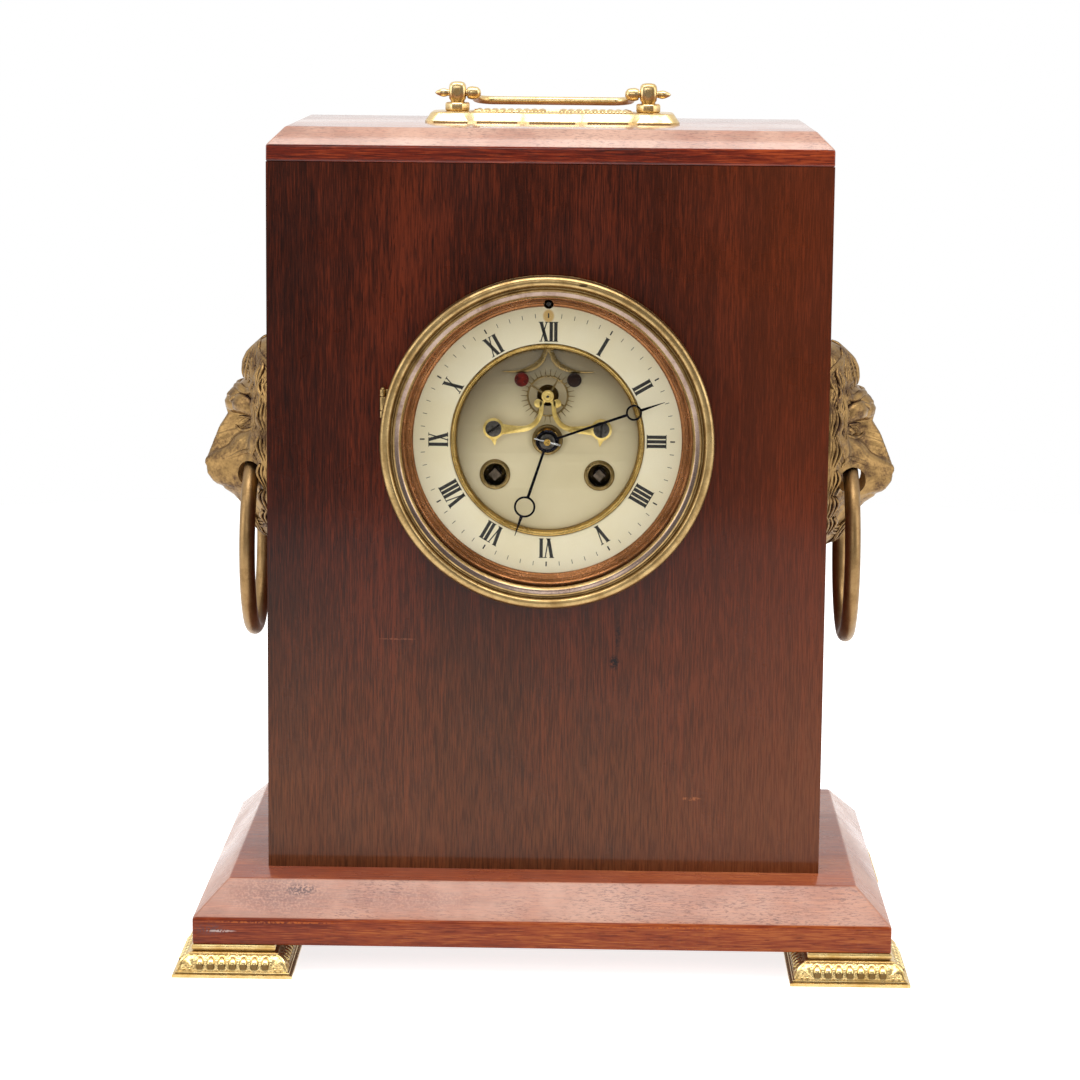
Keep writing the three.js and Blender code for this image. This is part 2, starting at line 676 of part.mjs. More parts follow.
function buildPost(name, side) {
  const x = side * POST_HALF;
  const pivot = PLATE_TOP + BAIL_PIVOT;
  const corner = POST_BASE / 2 / Math.cos(Math.PI / 8);
  const octagon = [];
  for (let i = 0; i < 8; i += 1) {
    const turn = (i + 0.5) * Math.PI / 4;
    octagon.push([Math.cos(turn) * corner, Math.sin(turn) * corner]);
  }
  const level = (scale, z) => octagon.map(([dx, dy]) => [x + dx * scale, CASE_MIDDLE + dy * scale, z]);
  const baseTop = PLATE_TOP + POST_BASE_HEIGHT;
  const foot = loft([
    level(0.92, PLATE_TOP), level(1, PLATE_TOP + 0.7), level(1, baseTop - 0.7), level(0.88, baseTop),
  ]);
  const radius = POST_HEAD / 2;
  const crown = pivot + POST_CROWN;
  const head = new THREE.LatheGeometry([
    [0, PLATE_TOP + 2], [radius - 0.6, PLATE_TOP + 2], [radius - 0.6, pivot - 3],
    [radius, pivot - 1.5], [radius, crown - 2], [radius - 1.2, crown - 0.5], [0, crown],
  ].map(([r, z]) => new THREE.Vector2(r, z)), 12).rotateX(RIGHT).translate(x, CASE_MIDDLE, 0);
  const tang = rodZ(POST_TANG / 2, SLAB_TOP - POST_TANG_DEPTH, PLATE_TOP + 1, x, CASE_MIDDLE);
  const bore = rodX(BAIL_PIN / 2 + FINE_SLIP, x - POST_BASE, x + POST_BASE, CASE_MIDDLE, pivot);
  piece(name, 'polishedBrass', cut(join(foot, head, tang), bore));
}

// The bail is drawn level, reaching backwards from its pivots, and then laid down by its droop.
function buildBail() {
  const arm = BAIL_REACH - BAIL_CORNER;
  const path = new THREE.CurvePath();
  const corner = (x) => new THREE.Vector3(x, BAIL_REACH, 0);
  const inner = BAIL_HALF - BAIL_CORNER;
  const v = (x, y) => new THREE.Vector3(x, y, 0);
  path.add(new THREE.LineCurve3(v(-BAIL_HALF, 0), v(-BAIL_HALF, arm)));
  path.add(new THREE.QuadraticBezierCurve3(v(-BAIL_HALF, arm), corner(-BAIL_HALF), v(-inner, BAIL_REACH)));
  path.add(new THREE.LineCurve3(v(-inner, BAIL_REACH), v(inner, BAIL_REACH)));
  path.add(new THREE.QuadraticBezierCurve3(v(inner, BAIL_REACH), corner(BAIL_HALF), v(BAIL_HALF, arm)));
  path.add(new THREE.LineCurve3(v(BAIL_HALF, arm), v(BAIL_HALF, 0)));
  const bar = wire(path, BAIL_WIRE / 2, 16, 8);
  const pin = BAIL_PIN / 2;
  const face = POST_HEAD / 2 + SLIP;
  const profile = [
    [0, POST_HALF + BAIL_TIP], [2.3, POST_HALF + face + 0.4],
    [2.3, POST_HALF + face], [pin, POST_HALF + face],
    [pin, POST_HALF - face], [2.6, POST_HALF - face - 0.5],
    [3.0, BAIL_HALF + 0.6], [2.2, BAIL_HALF - 2.2], [0, BAIL_HALF - 2.8],
  ];
  const pivotEnd = () => turned(profile, 0, 0, 12);
  const right = pivotEnd().rotateZ(-RIGHT);
  const left = pivotEnd().rotateZ(RIGHT);
  const bail = piece('carrying_bail', 'polishedBrass', join(bar, right, left));
  bail.rotation.x = -THREE.MathUtils.degToRad(BAIL_DROOP);
  bail.position.set(0, CASE_MIDDLE, PLATE_TOP + BAIL_PIVOT);
}

// ---------------------------------------------------------------- wheels
// Outline of a toothed wheel; phase is the direction of one tooth, from +X towards +Z.
// A wheel has pointed teeth, a pinion narrow leaves, with room for both to turn freely.
function toothedShape(teeth, module, phase, bore) {
  const pitch = teeth * module / 2;
  const step = 2 * Math.PI / teeth;
  const wheelTooth = [[pitch - 1.4 * module, -0.5], [pitch + 0.75 * module, 0]];
  const pinionLeaf = [
    [pitch - 1.35 * module, -0.17], [pitch + 0.45 * module, -0.06],
    [pitch + 0.45 * module, 0.06], [pitch - 1.35 * module, 0.17],
  ];
  const tooth = teeth < 12 ? pinionLeaf : wheelTooth;
  const points = [];
  for (let i = 0; i < teeth; i += 1) {
    for (const [radius, turn] of tooth) {
      const at = phase + (i + turn) * step;
      points.push([radius * Math.cos(at), radius * Math.sin(at)]);
    }
  }
  const shape = polygon(points);
  if (bore) shape.holes = [circleHole(0, 0, bore)];
  return shape;
}

function gear(teeth, module, front, back, phase, bore = 0, x = 0, z = 0) {
  return sheet(toothedShape(teeth, module, phase, bore), front, back, 4).translate(x, 0, z);
}

function meshDistance(wheelTeeth, pinionTeeth, module) {
  return (wheelTeeth + pinionTeeth) * module / 2;
}

// Point at given distances from two places; side picks the left or the right of the line between them.
function meet([ax, az], fromA, [bx, bz], fromB, side) {
  const apart = Math.hypot(bx - ax, bz - az);
  const along = (fromA ** 2 - fromB ** 2 + apart ** 2) / (2 * apart);
  const off = side * Math.sqrt(fromA ** 2 - along ** 2);
  const [ux, uz] = [(bx - ax) / apart, (bz - az) / apart];
  return [ax + along * ux - off * uz, az + along * uz + off * ux];
}

// Phases that put a leaf of the pinion into a gap of the wheel on the line of centres.
function meshPhase([wx, wz], [px, pz], wheelTeeth) {
  const toPinion = Math.atan2(pz - wz, px - wx);
  return { wheel: toPinion + Math.PI / wheelTeeth, pinion: toPinion + Math.PI };
}

const CENTRE = [0, 0];
const ESCAPE = [0, ESCAPE_Z];
const GOING = [WIND_X, WIND_Z];
const STRIKE = [-WIND_X, WIND_Z];
const SECOND = meet(CENTRE, meshDistance(SECOND_TEETH, CENTRE_PINION, SECOND_MODULE),
  GOING, meshDistance(BARREL_TEETH, SECOND_PINION, BARREL_MODULE), -1);
const THIRD = meet(CENTRE, meshDistance(CENTRE_TEETH, THIRD_PINION, CENTRE_MODULE),
  ESCAPE, meshDistance(THIRD_TEETH, ESCAPE_PINION, THIRD_MODULE), -1);
const PIN_WHEEL = [
  STRIKE[0] + meshDistance(BARREL_TEETH, SECOND_PINION, BARREL_MODULE) * Math.cos(PIN_WHEEL_TURN),
  STRIKE[1] + meshDistance(BARREL_TEETH, SECOND_PINION, BARREL_MODULE) * Math.sin(PIN_WHEEL_TURN),
];
const MINUTE = [0, -meshDistance(MINUTE_TEETH, CANNON_LEAVES, CANNON_MODULE)];

const phases = {
  going: meshPhase(GOING, SECOND, BARREL_TEETH),
  second: meshPhase(SECOND, CENTRE, SECOND_TEETH),
  centre: meshPhase(CENTRE, THIRD, CENTRE_TEETH),
  third: meshPhase(THIRD, ESCAPE, THIRD_TEETH),
  strike: meshPhase(STRIKE, PIN_WHEEL, BARREL_TEETH),
  minute: meshPhase(MINUTE, CENTRE, MINUTE_TEETH),
  hour: meshPhase(CENTRE, MINUTE, HOUR_TEETH),
};

// ---------------------------------------------------------------- hinges of the two doors
// A hinge about an upright axis. The outer knuckles and the pin belong to the fixed ring, the
// middle knuckle to the door; web is the reach to the ring, behind the side of the fixed half.
function hingedPair(ring, door, x, y, z, web, behind) {
  const half = HINGE_KNUCKLE / 2;
  const outer = half + SLIP + HINGE_END;
  const [left, right] = [Math.min(x, x + web), Math.max(x, x + web)];
  const tab = (side, bottom, top) => {
    const near = y + side * SLIP / 2;
    const far = y + side * HINGE_RADIUS;
    return box(left, right, Math.min(near, far), Math.max(near, far), bottom, top);
  };
  const fixed = [rodZ(HINGE_PIN, z - outer, z + outer, x, y, 10)];
  const roomForFixed = [];
  for (const [bottom, top] of [[z - outer, z - half - SLIP], [z + half + SLIP, z + outer]]) {
    fixed.push(rodZ(HINGE_RADIUS, bottom, top, x, y, 12), tab(behind, bottom, top));
    roomForFixed.push(rodZ(HINGE_RADIUS + SLIP, bottom - SLIP, top + SLIP, x, y, 12));
  }
  const moving = [rodZ(HINGE_RADIUS, z - half, z + half, x, y, 12), tab(-behind, z - half, z + half)];
  const bore = rodZ(HINGE_PIN + FINE_SLIP, z - half - 1, z + half + 1, x, y, 10);
  const roomForMoving = rodZ(HINGE_RADIUS + SLIP, z - half - SLIP, z + half + SLIP, x, y, 12);
  return {
    ring: join(cut(ring, roomForMoving), ...fixed),
    door: cut(join(cut(door, ...roomForFixed), ...moving), bore),
  };
}

// ---------------------------------------------------------------- bezel and dial
function buildBezel() {
  const seat = turned([
    [SIGHT_RADIUS, DIAL_FACE - 0.1], [SIGHT_RADIUS, DIAL_FACE - 0.9], [SIGHT_FRONT, SEAT_FRONT],
    [SEAT_RADIUS, SEAT_FRONT], [SEAT_RADIUS, CASE_FRONT], [SLEEVE_OUTER, CASE_FRONT],
    [SLEEVE_OUTER, DIAL_PLATE_FRONT], [SLEEVE_INNER, DIAL_PLATE_FRONT], [SLEEVE_INNER, DIAL_FACE - 0.1],
  ], 0, DIAL_Z, FINE_STEPS);
  const glassFront = BEZEL_BACK - 2.0 - GLASS_THICK;
  const bead = (BEZEL_RADIUS - BEZEL_GROOVE) / 2;
  const rim = [];
  for (let i = 0; i <= 4; i += 1) {
    const turn = Math.PI * i / 4;
    rim.push([BEZEL_GROOVE + bead - bead * Math.cos(turn), BEZEL_FRONT + bead - bead * Math.sin(turn)]);
  }
  const door = turned([
    [GLASS_OPENING, glassFront - SLIP], [GLASS_OPENING, glassFront - 1.0],
    [BEZEL_GROOVE - 1.2, BEZEL_FRONT + 0.9], [BEZEL_GROOVE - 0.6, BEZEL_FRONT + 2.2],
    ...rim, [BEZEL_RADIUS, BEZEL_BACK],
    [GLASS_RADIUS + SLIP, BEZEL_BACK], [GLASS_RADIUS + SLIP, glassFront - SLIP],
  ], 0, DIAL_Z, FINE_STEPS);
  const pair = hingedPair(seat, door, -HINGE_OUT, SEAT_FRONT - SLIP / 2, DIAL_Z + HINGE_UP, 5.5, 1);
  const regulator = rodY(REGULATOR_HOLE, SEAT_FRONT - 1, DIAL_PLATE_BACK, 0, DIAL_Z + REGULATOR_Z);
  piece('bezel_seat', 'copperBrass', cut(pair.ring, regulator));
  piece('bezel_door', 'bezelBrass', pair.door);
  glassPiece('bezel_glass', rodY(GLASS_RADIUS, glassFront, glassFront + GLASS_THICK, 0, DIAL_Z, FINE_STEPS));
}

// The two straps that reach back from the dial plate to the ring of the rear door.
function straps() {
  const back = CASE_BACK - REAR_THICK - 1;
  return [-1, 1].flatMap((side) => {
    const inner = side * (STRAP_X - STRAP_THICK / 2);
    const outer = side * (STRAP_X + STRAP_THICK / 2);
    const foot = side * (STRAP_X - 6);
    const [bottom, top] = [DIAL_Z - STRAP_WIDTH / 2, DIAL_Z + STRAP_WIDTH / 2];
    return [
      box(Math.min(inner, outer), Math.max(inner, outer), DIAL_PLATE_BACK - 0.5, back, bottom, top),
      box(Math.min(foot, outer), Math.max(foot, outer), DIAL_PLATE_BACK - 0.5,
        DIAL_PLATE_BACK + STRAP_THICK, bottom, top),
    ];
  });
}

function buildDial() {
  const regulator = () => rodY(REGULATOR_HOLE, DIAL_FACE - 1, DIAL_PLATE_BACK + 1, 0, DIAL_Z + REGULATOR_Z);
  const hourRing = turned([
    [HOUR_RING_INNER, DIAL_FACE], [HOUR_RING_OUTER, DIAL_FACE],
    [HOUR_RING_OUTER, DIAL_PLATE_FRONT], [HOUR_RING_INNER, DIAL_PLATE_FRONT],
  ], 0, DIAL_Z, FINE_STEPS);
  piece('hour_ring', 'enamel', cut(hourRing, regulator()));

  const ringFront = DIAL_FACE - BRASS_RING_PROUD;
  const plate = turned([
    [LEDGE_INNER, LEDGE_BACK], [LEDGE_INNER, LEDGE_FRONT], [BRASS_RING_INNER, LEDGE_FRONT],
    [BRASS_RING_INNER, ringFront + 0.5], [BRASS_RING_INNER + 1, ringFront],
    [BRASS_RING_OUTER - 0.8, ringFront], [BRASS_RING_OUTER, ringFront + 0.6],
    [BRASS_RING_OUTER, DIAL_PLATE_FRONT],
    [SLEEVE_OUTER, DIAL_PLATE_FRONT], [SLEEVE_OUTER, DIAL_PLATE_BACK],
    [BRASS_RING_OUTER + 1.4, DIAL_PLATE_BACK], [BRASS_RING_OUTER + 1.4, LEDGE_BACK],
  ], 0, DIAL_Z, FINE_STEPS);
  const feet = DIAL_FEET.map(([x, z]) => (
    rodY(DIAL_FOOT_RADIUS, LEDGE_BACK - 0.5, FRONT_PLATE_FACE, x, DIAL_Z + z, 10)));
  const pocket = box(-7, 7, ANCHOR_FRONT - 0.12, CENTRE_FACE + 0.1,
    DIAL_Z + LEDGE_INNER, DIAL_Z + PALLET_PIVOT_Z + 4);
  const arborHole = rodY(FINE_ARBOR + SLIP, ANCHOR_FRONT, LEDGE_BACK + 1, 0, DIAL_Z + PALLET_PIVOT_Z);
  const carrier = join(plate, ...feet, ...straps());
  piece('dial_plate', 'movementBrass', cut(carrier, pocket, arborHole, regulator()));

  const holes = [[0, 0, GROMMET_TUBE, GROMMET_STEPS], [0, ESCAPE_Z, ESCAPE_HOLE, GROMMET_STEPS]];
  for (const side of [-1, 1]) {
    holes.push([side * WIND_X, WIND_Z, GROMMET_TUBE, GROMMET_STEPS]);
    holes.push([side * BRIDGE_SCREW_X, BRIDGE_SCREW_Z, SCREW_SHANK + FINE_SLIP]);
  }
  const centre = sheet(disc(BRASS_RING_INNER - FINE_SLIP, holes, FINE_STEPS), CENTRE_FACE, LEDGE_FRONT);
  piece('dial_centre', 'enamelCentre', centre.translate(0, 0, DIAL_Z));
  const grommets = [
    ['centre_grommet', 0, 0], ['left_winding_grommet', -WIND_X, WIND_Z],
    ['right_winding_grommet', WIND_X, WIND_Z],
  ];
  for (const [name, x, z] of grommets) {
    piece(name, 'movementBrass', turned([
      [GROMMET_HOLE, LEDGE_BACK], [GROMMET_HOLE, CENTRE_FACE - GROMMET_FLANGE],
      [GROMMET_OUTER - 0.4, CENTRE_FACE - GROMMET_FLANGE], [GROMMET_OUTER, CENTRE_FACE],
      [GROMMET_TUBE - FINE_SLIP, CENTRE_FACE], [GROMMET_TUBE - FINE_SLIP, LEDGE_BACK],
    ], x, DIAL_Z + z, GROMMET_STEPS));
  }
}

// ---------------------------------------------------------------- hands
// A hand with an open ring, drawn upright from its boss at the origin.
function moonHand(length, ringAt, ringOuter, boss, bore, stem) {
  const shape = new THREE.Shape();
  const half = stem / 2;
  const onBoss = Math.acos(half / boss);
  const onRing = Math.acos(half / ringOuter);
  shape.moveTo(half, Math.sin(onBoss) * boss);
  shape.lineTo(half, ringAt - Math.sin(onRing) * ringOuter);
  shape.absarc(0, ringAt, ringOuter, -onRing, onRing, false);
  shape.lineTo(0.25, length);
  shape.lineTo(-0.25, length);
  shape.lineTo(-half, ringAt + Math.sin(onRing) * ringOuter);
  shape.absarc(0, ringAt, ringOuter, Math.PI - onRing, Math.PI + onRing, false);
  shape.lineTo(-half, Math.sin(onBoss) * boss);
  shape.absarc(0, 0, boss, Math.PI - onBoss, 2 * Math.PI + onBoss, false);
  shape.holes = [circleHole(0, ringAt, ringOuter - 0.95), circleHole(0, 0, bore)];
  return shape;
}

function placeHand(hand, angle) {
  hand.rotation.y = THREE.MathUtils.degToRad(angle);
  hand.position.z = DIAL_Z;
}

function buildHands() {
  const pipe = ARBOR + SLIP;
  const hour = moonHand(HOUR_LENGTH, HOUR_RING_AT, HOUR_RING, 5.1, pipe, 1.3);
  const hourSkin = sheet(hour, HOUR_HAND_BACK - HAND_THICK, HOUR_HAND_BACK);
  const wheelBack = FRONT_PLATE_FACE - 2.6;
  const wheel = gear(HOUR_TEETH, HOUR_MODULE, wheelBack - 1.2, wheelBack, phases.hour.wheel, pipe);
  const pipeOuter = 3.0;
  const pipeFront = HOUR_HAND_BACK - HAND_THICK;
  const tube = turned([
    [pipe, pipeFront], [pipeOuter, pipeFront], [pipeOuter, wheelBack], [pipe, wheelBack],
  ], 0, 0, 14);
  wheel.rotateY(-THREE.MathUtils.degToRad(HOUR_ANGLE));
  placeHand(piece('hour_hand', 'blueSteel', join(hourSkin, tube, wheel)), HOUR_ANGLE);

  const minute = moonHand(MINUTE_LENGTH, MINUTE_RING_AT, MINUTE_RING, 3.6, ARBOR + FINE_SLIP, 1.3);
  placeHand(piece('minute_hand', 'blueSteel', sheet(minute, WASHER_BACK, MINUTE_HAND_BACK)), MINUTE_ANGLE);
  piece('hand_washer', 'steel', turned([
    [ARBOR + FINE_SLIP, WASHER_BACK], [ARBOR + FINE_SLIP, WASHER_BACK - 0.9], [2.2, WASHER_BACK - 0.8],
    [3.5, WASHER_BACK - 0.2], [3.5, WASHER_BACK],
  ], 0, DIAL_Z, 16));
  const taper = turned([[0, -7.2], [0.38, -7.2], [0.5, 5.6], [0, 5.6]], 0, 0, 8).rotateZ(RIGHT);
  const pin = piece('hand_pin', 'steel', taper);
  pin.rotation.y = THREE.MathUtils.degToRad(HAND_PIN_ANGLE);
  pin.position.set(0, HAND_PIN_Y, DIAL_Z);
}

// ---------------------------------------------------------------- escapement in front of the dial
function buildBridge() {
  const arm = (side) => ribbon([
    [side * 2.2, 17.6, 2.0], [side * 2.6, 13.6, 1.9], [side * 3.6, 10.4, 1.9], [side * 6.6, 7.0, 2.0],
    [side * 11.5, 5.4, 2.4], [side * 17, 5.2, 3.6], [side * BRIDGE_SCREW_X, BRIDGE_SCREW_Z, 6],
  ]);
  const tail = (side) => {
    const points = [[20.6, 4.4], [26.4, 2.2], [24, -2.0], [21, 1.6]].map(([x, z]) => [side * x, z]);
    return polygon(side > 0 ? points : points.reverse());
  };
  const solids = [];
  const holes = [rodY(0.6, BRIDGE_FRONT - 1, BRIDGE_BACK + 1, 0, ESCAPE_Z, 10)];
  for (const side of [-1, 1]) {
    solids.push(sheet(arm(side), BRIDGE_FRONT, BRIDGE_BACK), sheet(tail(side), BRIDGE_FRONT, BRIDGE_BACK));
    solids.push(rodY(1.6, BRIDGE_FRONT, BRIDGE_BACK, side * 4.2, 17.2, 8));
    solids.push(rodY(4.6, BRIDGE_FRONT, BRIDGE_BACK, side * BRIDGE_SCREW_X, BRIDGE_SCREW_Z, 14));
    solids.push(rodY(3.2, BRIDGE_BACK - 0.2, CENTRE_FACE, side * BRIDGE_SCREW_X, BRIDGE_SCREW_Z, 10));
    holes.push(rodY(SCREW_SHANK + FINE_SLIP, BRIDGE_FRONT - 1, CENTRE_FACE + 1,
      side * BRIDGE_SCREW_X, BRIDGE_SCREW_Z, 8));
  }
  const boss = rodY(2.8, BRIDGE_FRONT - 0.3, BRIDGE_BACK, 0, ESCAPE_Z, 14);
  const bridge = cut(join(boss, ...solids), ...holes);
  piece('escapement_bridge', 'movementBrass', bridge.translate(0, 0, DIAL_Z));
  for (const [name, side, turn] of [['left_bridge_screw', -1, 35], ['right_bridge_screw', 1, 88]]) {
    const head = BRIDGE_FRONT - 0.9;
    const screw = turned([
      [0, head], [SCREW_HEAD - 0.3, head], [SCREW_HEAD, head + 0.3], [SCREW_HEAD, BRIDGE_FRONT],
      [SCREW_SHANK, BRIDGE_FRONT], [SCREW_SHANK, LEDGE_FRONT], [0, LEDGE_FRONT],
    ], 0, 0, 12);
    const slot = box(-SCREW_HEAD - 1, SCREW_HEAD + 1, head - 1, head + 0.45, -0.4, 0.4)
      .rotateY(-THREE.MathUtils.degToRad(turn));
    const mesh = piece(name, 'steel', cut(screw, slot));
    mesh.position.set(side * BRIDGE_SCREW_X, 0, DIAL_Z + BRIDGE_SCREW_Z);
  }
}

function escapeShape() {
  const points = [];
  for (let i = 0; i < ESCAPE_TEETH; i += 1) {
    const step = 2 * Math.PI / ESCAPE_TEETH;
    for (const [radius, turn] of [[ESCAPE_ROOT, -0.25], [ESCAPE_TIP, 0], [ESCAPE_ROOT, 0.15]]) {
      const at = (i + turn) * step;
      points.push([radius * Math.cos(at), radius * Math.sin(at)]);
    }
  }
  const shape = polygon(points);
  const [rimInner, hub, spoke] = [ESCAPE_ROOT - 0.8, 2.2, 0.45];
  for (let i = 0; i < 4; i += 1) {
    const start = THREE.MathUtils.degToRad(58) + i * RIGHT;
    const window = new THREE.Path();
    const [outerTurn, innerTurn] = [spoke / rimInner, spoke / hub];
    window.absarc(0, 0, rimInner, start + outerTurn, start + RIGHT - outerTurn, false);
    window.absarc(0, 0, hub, start + RIGHT - innerTurn, start + innerTurn, true);
    shape.holes.push(window);
  }
  return shape;
}

function buildEscapement() {
  const [x, z] = ESCAPE;
  const wheel = sheet(escapeShape(), WHEEL_FRONT, WHEEL_BACK, 3).translate(x, 0, z);
  const pinion = gear(ESCAPE_PINION, THIRD_MODULE, TRAIN_BACK - 3.2, TRAIN_BACK - 0.9,
    phases.third.pinion, 0, x, z);
  const arbor = rodY(FINE_ARBOR, WHEEL_FRONT + 0.1, TRAIN_BACK - SLIP, x, z, 10);
  const pivot = rodY(0.48, BRIDGE_FRONT, WHEEL_FRONT + 0.2, x, z, 10);
  const hub = rodY(2.4, WHEEL_BACK - 0.2, WHEEL_BACK + 1.2, x, z, 14);
  piece('escape_wheel', 'movementBrass', join(wheel, pinion, arbor, pivot, hub).translate(0, 0, DIAL_Z));

  const arm = (side) => ribbon([
    [side * 0.4, PALLET_PIVOT_Z - 2.0, 2.2], [side * 2.6, 36.2, 2.4], [side * 5.6, 33.2, 2.6],
    [side * 9.2, 31.4, 2.6], [side * PALLET_X, PALLET_Z + 3.4, 1.9], [side * 16, 30.6, 0.9],
    [side * 20.4, 30.6, 0.6],
  ], 11);
  const solids = [];
  const bores = [];
  for (const side of [-1, 1]) {
    solids.push(sheet(arm(side), ANCHOR_FRONT, ANCHOR_BACK));
    solids.push(rodY(3.1, ANCHOR_FRONT, ANCHOR_BACK, side * PALLET_X, PALLET_Z, 10));
    bores.push(rodY(0.9 + FINE_SLIP, ANCHOR_FRONT - 1, ANCHOR_BACK + 1, side * PALLET_X, PALLET_Z, 10));
  }
  const boss = rodY(2.3, ANCHOR_FRONT, ANCHOR_BACK, 0, PALLET_PIVOT_Z, 14);
  const neck = box(-1.4, 1.4, ANCHOR_FRONT, ANCHOR_BACK, PALLET_PIVOT_Z - 3.4, PALLET_PIVOT_Z);
  const staff = rodY(FINE_ARBOR, ANCHOR_BACK - 0.1, BACK_PLATE_FACE + 4.4, 0, PALLET_PIVOT_Z, 10);
  const crutchZ = PALLET_PIVOT_Z - CRUTCH_LENGTH;
  const crutch = box(-1.2, 1.2, BACK_PLATE_FACE + 3, BACK_PLATE_FACE + 4,
    crutchZ - 1.2, PALLET_PIVOT_Z + 1.5);
  const reach = PENDULUM_Y - 3.4;
  const bridge = box(-1.2, 1.2, BACK_PLATE_FACE + 3.4, reach + 0.4, crutchZ - 1.2, crutchZ + 1.2);
  const across = box(-3.6, 3.6, reach, reach + 1, crutchZ - 1.2, crutchZ + 1.2);
  const prongs = [-1, 1].map((side) => box(Math.min(side * 2.3, side * 3.6), Math.max(side * 2.3, side * 3.6),
    reach + 0.2, PENDULUM_Y + 2.6, crutchZ - 1.2, crutchZ + 1.2));
  const anchor = join(boss, neck, ...solids, staff, crutch, bridge, across, ...prongs);
  piece('pallet_anchor', 'steel', cut(anchor, ...bores).translate(0, 0, DIAL_Z));
  for (const [name, side, finish] of [['left_pallet', -1, 'jewelRed'], ['right_pallet', 1, 'jewelBrown']]) {
    piece(name, finish, turned([
      [0, PALLET_FRONT], [2.9, PALLET_FRONT], [3.2, PALLET_FRONT + 0.3], [3.2, PALLET_BACK],
      [0.9, PALLET_BACK], [0.9, ANCHOR_BACK], [0, ANCHOR_BACK],
    ], side * PALLET_X, DIAL_Z + PALLET_Z, 12));
  }
}

// ---------------------------------------------------------------- movement
function plateHoles(list) {
  return list.map(([[x, z], radius]) => [x, z, radius + SLIP]);
}

function buildFrame() {
  const front = sheet(disc(MOVEMENT_PLATE, plateHoles([
    [CENTRE, ARBOR], [ESCAPE, FINE_ARBOR], [[0, PALLET_PIVOT_Z], FINE_ARBOR],
    [GOING, WIND_ARBOR], [STRIKE, WIND_ARBOR],
  ])), FRONT_PLATE_FACE, TRAIN_FRONT);
  const pillars = PILLARS.map(([x, z]) => rodY(PILLAR_RADIUS, TRAIN_FRONT - 0.5, TRAIN_BACK, x, z, 10));
  const stud = rodY(1.0, FRONT_PLATE_FACE - 4.6, FRONT_PLATE_FACE + 0.5, MINUTE[0], MINUTE[1], 10);
  piece('front_plate', 'movementBrass', join(front, ...pillars, stud).translate(0, 0, DIAL_Z));
  const back = sheet(disc(MOVEMENT_PLATE, plateHoles([
    [[0, PALLET_PIVOT_Z], FINE_ARBOR], [HAMMER_PIVOT, FINE_ARBOR],
  ])), TRAIN_BACK, BACK_PLATE_FACE);
  piece('back_plate', 'movementBrass', back.translate(0, 0, DIAL_Z));
}

// Coiled spring strip between the arbor and the drum.
function spiral(inner, outer, turns, thick) {
  const left = [];
  const right = [];
  const steps = turns * 12;
  for (let i = 0; i <= steps; i += 1) {
    const at = 2 * Math.PI * i / 12;
    const radius = inner + (outer - inner) * i / steps;
    left.push([(radius + thick / 2) * Math.cos(at), (radius + thick / 2) * Math.sin(at)]);
    right.unshift([(radius - thick / 2) * Math.cos(at), (radius - thick / 2) * Math.sin(at)]);
  }
  return polygon([...left, ...right]);
}

function buildBarrel(prefix, place, phase) {
  const [x, z] = place;
  const wheelFront = TRAIN_FRONT + 4.2;
  const drumBack = TRAIN_BACK - 7;
  const bore = WIND_ARBOR + FINE_SLIP;
  const wheel = gear(BARREL_TEETH, BARREL_MODULE, wheelFront, wheelFront + 1.6, phase, bore, x, z);
  const wall = 1.2;
  const drum = turned([
    [DRUM_RADIUS - wall, wheelFront + 1.5], [DRUM_RADIUS, wheelFront + 1.5],
    [DRUM_RADIUS, drumBack], [DRUM_RADIUS - wall, drumBack],
  ], x, z, 24);
  piece(`${prefix}_barrel`, 'movementBrass', join(wheel, drum).translate(0, 0, DIAL_Z));
  const spring = spiral(bore + 1, DRUM_RADIUS - wall - 1.2, 3, 0.7);
  piece(`${prefix}_mainspring`, 'blueSteel',
    sheet(spring, wheelFront + 1.9, drumBack - 0.5).translate(x, 0, z + DIAL_Z));
  const square = rodY(WIND_SQUARE / Math.SQRT2, CENTRE_FACE - 0.4, FRONT_PLATE_FACE - 0.4, x, z, 4);
  const arbor = rodY(WIND_ARBOR, FRONT_PLATE_FACE - 0.6, TRAIN_BACK - SLIP, x, z, 14);
  piece(`${prefix}_winding_arbor`, 'steel', join(square, arbor).translate(0, 0, DIAL_Z));
}

// A wheel and its pinion on one thin arbor between the plates.
function trainArbor(place, solids, front, back) {
  const [x, z] = place;
  const pivots = rodY(0.45, TRAIN_FRONT + SLIP, TRAIN_BACK - SLIP, x, z, 8);
  return join(rodY(1.2, front, back, x, z, 12), pivots, ...solids).translate(0, 0, DIAL_Z);
}

